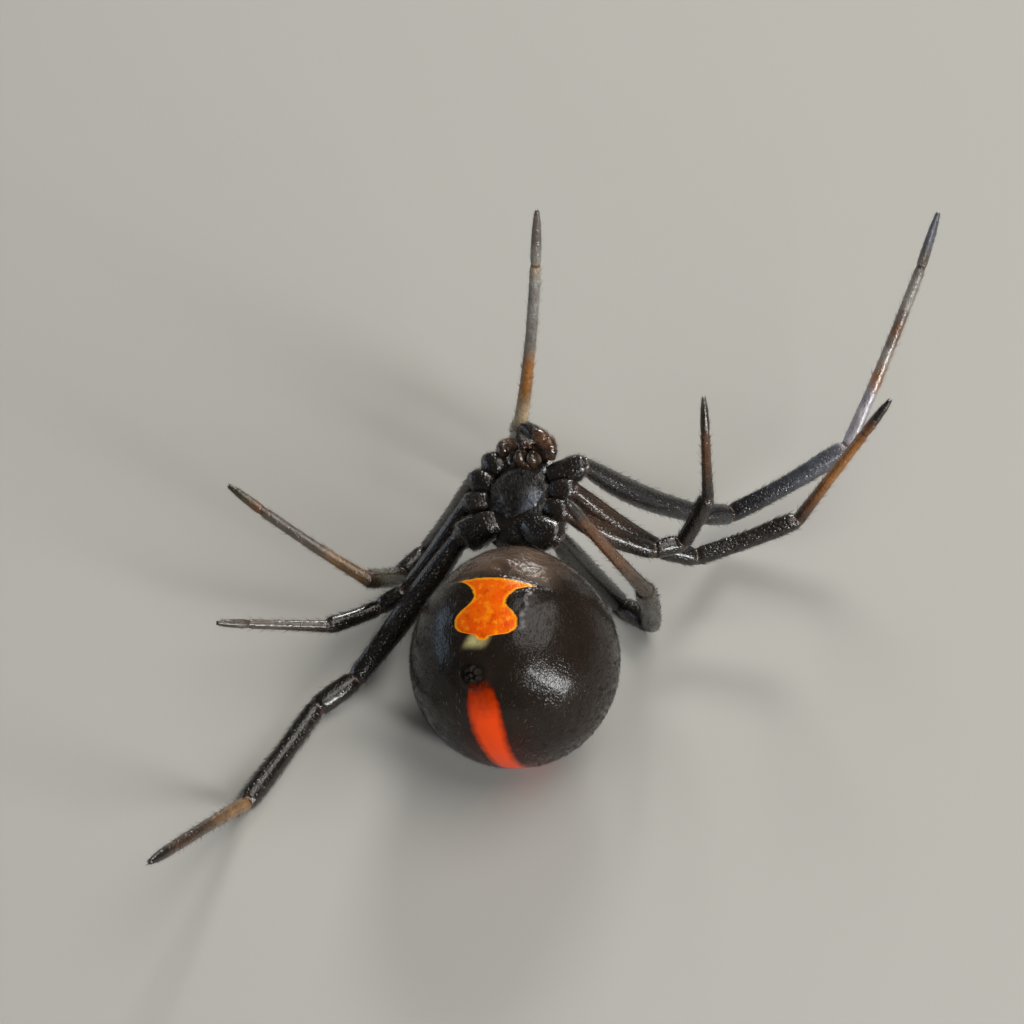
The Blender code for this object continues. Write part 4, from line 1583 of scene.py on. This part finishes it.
@dataclass
class Mouth:
    """Lip, mouth plates, jaws with their fangs, and the two feelers."""

    lip: tuple[tuple[float, ...], tuple[float, ...]] = ((0.36, 0.5, 0.6), (1.24, 0.0, 0.5))
    plate: tuple[tuple[float, ...], tuple[float, ...]] = ((0.64, 0.5, 0.8), (1.46, 0.23, 0.6))
    jaw_root: tuple[float, float, float] = (1.78, 0.3, 0.0)
    jaw_tip: tuple[float, float, float] = (1.98, 0.27, 0.78)
    jaw_radii: tuple[float, ...] = (0.22, 0.29, 0.31, 0.29, 0.25, 0.15)
    fang: tuple[tuple[float, ...], ...] = (
        (1.96, 0.26, 0.68), (1.98, 0.2, 0.8), (1.9, 0.14, 0.9), (1.74, 0.11, 0.93),
    )
    fang_radii: tuple[float, ...] = (0.1, 0.085, 0.055, 0.015)
    # The left feeler lies across the jaws, and the right one is folded down beside them
    palp_places: dict[Side, tuple[tuple[float, ...], ...]] = field(
        default_factory=lambda: {
            Side.LEFT: (
                (1.54, 0.86, 0.74), (1.84, 0.94, 1.04), (2.05, 0.62, 1.22), (2.24, 0.18, 1.26),
                (2.42, -0.26, 1.2),
            ),
            Side.RIGHT: (
                (1.54, -0.86, 0.74), (1.82, -1.02, 0.62), (2.02, -0.98, 0.35), (2.16, -0.86, 0.08),
                (2.3, -0.7, -0.12),
            ),
        }
    )
    palp_radii: tuple[float, ...] = (0.2, 0.25, 0.26, 0.24, 0.13)
    palp_joints: tuple[float, ...] = (0.22, 0.42, 0.66)
    palp_hairs: int = 1300
    hair_lengths: tuple[float, float] = (0.08, 0.2)

    def build_plates(self) -> bpy.types.Object:
        """The lip between two longer mouth plates that meet in front of it."""
        pieces = []
        for (size, place), signs in ((self.lip, (0,)), (self.plate, (1, -1))):
            for sign in signs:
                piece = Bench.ball(5)
                out = unit(Bench.points(piece))
                swell = 0.5 * (1 + 0.06 * out[:, 0:1]) * np.array(size)
                middle = np.array((place[0], sign * place[1], place[2]))
                groove = 0.03 * hump(out[:, 1:2] / 0.18) if sign == 0 else 0.0
                Bench.move_to(piece, PROSOMA.place(middle + out * (swell - groove)))
                pieces.append(piece)
        obj = Bench.join(pieces)
        Bench.tint(obj, "tint", np.tile(Shade.UMBER.value, (len(obj.data.vertices), 1)))
        finish = Cuticle("mouth_cuticle", gloss=(0.16, 0.32), relief=0.02, glow=0.05).material()
        return Bench.set_down(obj, "mouth_plates", finish, "mouthparts", ("mouthparts",))

    def build_jaws(self) -> bpy.types.Object:
        """Two jaws, each with a fang folded across its tip."""
        pieces = []
        for side in Side:
            flip = np.array((1, side.value, 1))
            root, tip = PROSOMA.place(np.array((self.jaw_root, self.jaw_tip)) * flip)
            shares = np.linspace(0, 1, 14)
            radii = np.interp(shares, np.linspace(0, 1, len(self.jaw_radii)), self.jaw_radii)
            lean, reach = unit(tip - root), float(np.linalg.norm(tip - root))
            rows = tube_rows(root, lean, reach, SKIN_SHARE, tuple(zip(shares, radii)), 24)
            pieces.append(Bench.sleeve(rows, root, tip))
        obj = Bench.join(pieces)
        Bench.tint(obj, "tint", np.tile((0.075, 0.035, 0.016), (len(obj.data.vertices), 1)))
        finish = Cuticle("jaw_cuticle", gloss=(0.14, 0.3)).material()
        nodes = ("chelicera_left", "chelicera_right")
        return Bench.set_down(obj, "jaws", finish, "mouthparts", nodes)

    def build_fangs(self) -> bpy.types.Object:
        """The short curved fangs, glossy red-brown."""
        pieces = []
        for side in Side:
            points = PROSOMA.place(np.array(self.fang) * np.array((1, side.value, 1)))
            rows = swept_rows(points, np.array(self.fang_radii), 12, 12)
            pieces.append(Bench.sleeve(rows, points[0], points[-1]))
        obj = Bench.join(pieces)
        Bench.tint(obj, "tint", np.tile((0.07, 0.018, 0.008), (len(obj.data.vertices), 1)))
        finish = Cuticle("fang_cuticle", gloss=(0.08, 0.18), mottle=0.2, coat=0.8).material()
        return Bench.set_down(obj, "fangs", finish, "mouthparts")

    def palp_rows(self, side: Side) -> np.ndarray:
        """Rows of points along a feeler, with a groove at each of its joints."""
        points = PROSOMA.place(self.palp_places[side])
        rows = swept_rows(points, np.array(self.palp_radii) * SKIN_SHARE, 44, 20)
        shares = np.linspace(0, 1, 44)
        squeeze = np.zeros(44)
        for joint in self.palp_joints:
            squeeze = squeeze + 0.2 * hump((shares - joint) / 0.018)
        middle = rows.mean(axis=1, keepdims=True)
        return middle + (rows - middle) * (1 - squeeze)[:, None, None]

    def palp_colours(self, share: np.ndarray) -> np.ndarray:
        """A feeler's colour from its root to its tip."""
        stops = (0.0, 0.2, 0.34, 0.5, 0.7, 1.0)
        shades = (Shade.UMBER, Shade.UMBER, Shade.CHESTNUT, Shade.CHESTNUT, Shade.SOOT, Shade.JET)
        table = np.array([shade.value for shade in shades])
        return np.stack([np.interp(share, stops, table[:, k]) for k in range(3)], 1)

    def build_palp(self, side: Side) -> bpy.types.Object:
        """One feeler."""
        rows = self.palp_rows(side)
        obj = Bench.sleeve(rows, rows[0].mean(0), rows[-1].mean(0))
        share = np.repeat(np.linspace(0, 1, len(rows)), rows.shape[1])
        table = self.palp_colours(share)
        Bench.tint(obj, "tint", table[nearest(Bench.points(obj), rows.reshape(-1, 3))])
        word = side.name.lower()
        finish = Cuticle(f"palp_cuticle_{word}", gloss=(0.16, 0.32), glow=0.08).material()
        return Bench.set_down(obj, f"palp_{word}_skin", finish, "mouthparts", (f"palp_{word}",))

    def build_coat(self, rng: np.random.Generator) -> list[bpy.types.Object]:
        """Hair on the feelers, denser to their tips.

        Args:
            rng: the source of every random draw.

        Returns:
            The coat's meshes.
        """
        coat = Coat("mouth_hair", "mouthparts", HairFinish("mouth_hair").material())
        for side in Side:
            rows = self.palp_rows(side)
            count = self.palp_hairs
            row = (rng.beta(1.6, 1.1, count) * (len(rows) - 3)).astype(int) + 1
            turn = rng.integers(0, rows.shape[1], count)
            after = (turn + 1) % rows.shape[1]
            mix = rng.random((count, 1))
            near = rows[row, turn] * (1 - mix) + rows[row, after] * mix
            far = rows[row + 1, turn] * (1 - mix) + rows[row + 1, after] * mix
            along_mix = rng.random((count, 1))
            roots = near * (1 - along_mix) + far * along_mix
            along = unit(rows[row + 1].mean(1) - rows[row - 1].mean(1))
            out = unit(roots - rows[row].mean(1))
            lean = unit(along + out * rng.uniform(0.6, 1.1, (count, 1)) + rng.normal(0, 0.1, out.shape))
            share = row / (len(rows) - 1)
            length = rng.uniform(*self.hair_lengths, count)
            colour = self.palp_colours(share) * 0.9
            unwrap = np.stack((turn / rows.shape[1] * 0.42, share * 0.9 + 0.03), 1)
            unwrap[:, 0] += 0.03 if side is Side.LEFT else 0.53
            coat.grow(roots, lean, along, length, length * 0.028, colour, unwrap)
        return coat.build()


def swept_rows(points: np.ndarray, radii: np.ndarray, count: int, around: int) -> np.ndarray:
    """Rows of points round a smooth curve.

    Args:
        points: places that the curve passes near, in order.
        radii: the radius at each of them.
        count: how many rows.
        around: points in each row.

    Returns:
        Places by row, by turn and by axis.
    """
    stops = np.linspace(0, 1, len(points))
    shares = np.linspace(0, 1, count)
    curve = np.stack([np.interp(shares, stops, points[:, k]) for k in range(3)], 1)
    widths = np.interp(shares, stops, radii)
    for _ in range(max(count // 8, 1) * 3):
        curve[1:-1] = curve[1:-1] * 0.5 + (curve[:-2] + curve[2:]) * 0.25
        widths[1:-1] = widths[1:-1] * 0.5 + (widths[:-2] + widths[2:]) * 0.25
    axes = unit(np.gradient(curve, axis=0))
    side = unit(np.cross(axes[0], UP + 0.01))
    turns = np.arange(around) * 2 * math.pi / around
    rows = []
    for middle, axis, width in zip(curve, axes, widths):
        side = unit(side - (side @ axis) * axis)
        across = np.cross(axis, side)
        ring = side * np.cos(turns)[:, None] + across * np.sin(turns)[:, None]
        rows.append(middle + ring * width)
    return np.array(rows)


@dataclass(frozen=True)
class Lamp:
    """A soft light: place, length and width in metres, power in watts, its long side's way, and
    the angle in radians that it shines into.
    """

    name: str
    place: tuple[float, float, float]
    size: tuple[float, float]
    power: float
    colour: tuple[float, float, float] = (1.0, 1.0, 1.0)
    along: tuple[float, float, float] = (1.0, 0.0, 0.0)
    spread: float = math.pi

    def build(self, aim: Vector) -> bpy.types.Object:
        """Adds the light, facing a point."""
        data = bpy.data.lights.new(self.name, "AREA")
        data.shape = "RECTANGLE"
        data.size, data.size_y = self.size
        data.energy = self.power
        data.color = self.colour
        data.spread = self.spread
        light = bpy.data.objects.new(self.name, data)
        back = (Vector(self.place) - aim).normalized()
        up = back.cross(Vector(self.along)).normalized()
        light.rotation_euler = Matrix((up.cross(back), up, back)).transposed().to_euler()
        light.location = self.place
        bpy.context.scene.collection.objects.link(light)
        return light


@dataclass
class Studio:
    """A pale floor, soft lights and the camera, in metres of the model's frame."""

    floor_size: float = 1.6
    floor_colour: tuple[float, float, float] = (0.39, 0.385, 0.36)
    target: tuple[float, float, float] = (-0.00178, 0.00007, 0.006865)
    distance: float = 0.128
    elevation: float = 47.0
    lens: float = 135.0
    lamps: tuple[Lamp, ...] = (
        Lamp("key", (0.075, 0.01, 0.2), (0.15, 0.22), 0.34, (1.0, 0.96, 0.9)),
        Lamp("back", (0.034, 0.19, 0.114), (0.055, 0.035), 0.26, (1.0, 0.98, 0.95)),
        Lamp("fill", (-0.24, 0.07, 0.035), (0.2, 0.06), 0.08, (0.62, 0.79, 1.0), (0.28, 1.0, 0.0)),
        Lamp(
            "strip", (0.124, -0.14, 0.066), (0.17, 0.026), 0.17, along=(0.1, 0.03, -0.105), spread=1.92
        ),
    )
    world: tuple[float, float, float] = (0.97, 0.97, 1.0)
    world_strength: float = 0.07

    def build_floor(self) -> bpy.types.Object:
        """A wide plain floor under the spider."""
        Bench.deselect()
        bpy.ops.mesh.primitive_plane_add(size=self.floor_size)
        floor = bpy.context.object
        floor.name = "floor"
        graph = Graph("floor_paper")
        shade = graph.ramp(graph.noise(40.0, 2.0), 0.3, 0.7, 0.0, 0.06)
        dark = tuple(0.9 * c for c in self.floor_colour)
        colour = graph.mix(shade, self.floor_colour, dark)
        graph.link(colour, graph.shader.inputs["Base Color"])
        graph.set(Roughness=0.9, Specular_IOR_Level=0.1)
        floor.data.materials.append(graph.material)
        return floor

    def build_lights(self) -> None:
        """Soft area lights that face the spider, and an even sky."""
        for lamp in self.lamps:
            lamp.build(Vector(self.target))
        world = bpy.data.worlds.new("sky")
        world.use_nodes = True
        world.node_tree.nodes["Background"].inputs["Color"].default_value = (*self.world, 1.0)
        world.node_tree.nodes["Background"].inputs["Strength"].default_value = self.world_strength
        bpy.context.scene.world = world
        bpy.context.scene.view_settings.view_transform = "Standard"

    def build_camera(self) -> bpy.types.Object:
        """The camera, along the photograph's line of sight."""
        data = bpy.data.cameras.new("camera")
        data.lens = self.lens
        data.sensor_width = 36.0
        data.clip_start, data.clip_end = 0.001, 10.0
        camera = bpy.data.objects.new("camera", data)
        rise = math.radians(self.elevation)
        back = Vector((0.0, -math.cos(rise), math.sin(rise)))
        camera.location = Vector(self.target) + back * self.distance
        camera.rotation_euler = (math.pi / 2 - rise, 0.0, 0.0)
        bpy.context.scene.collection.objects.link(camera)
        bpy.context.scene.camera = camera
        return camera


def main() -> None:
    """Builds every part of the spider, then the studio."""
    rng = np.random.default_rng(20260)
    abdomen = Abdomen()
    abdomen.build_skin()
    abdomen.build_spinnerets()
    abdomen.build_coat(rng)
    front = FrontBody()
    front.build_carapace()
    front.build_eyes()
    front.build_sternum()
    front.build_core()
    front.build_waist(abdomen)
    front.build_coat(rng)
    mouth = Mouth()
    mouth.build_plates()
    mouth.build_jaws()
    mouth.build_fangs()
    for side in Side:
        mouth.build_palp(side)
    mouth.build_coat(rng)
    leg_finish = Cuticle(
        "leg_cuticle", gloss=(0.14, 0.32), grain=0.1, relief=0.03, glow=0.06, pitting=0.8
    ).material()
    claw_finish = Cuticle("claw_horn", gloss=(0.12, 0.3), mottle=0.2).material()
    hair_finish = HairFinish("leg_hair", 0.32, 0.45).material()
    for pose in LEG_POSES:
        leg = Leg(pose)
        leg.build_skin(leg_finish)
        leg.build_claws(claw_finish)
        leg.build_coat(rng, hair_finish)
    studio = Studio()
    studio.build_floor()
    studio.build_lights()
    studio.build_camera()
    LOG.info("boxes written")


if __name__ == "__main__":
    logging.basicConfig(level=logging.INFO, format="%(message)s")
    main()
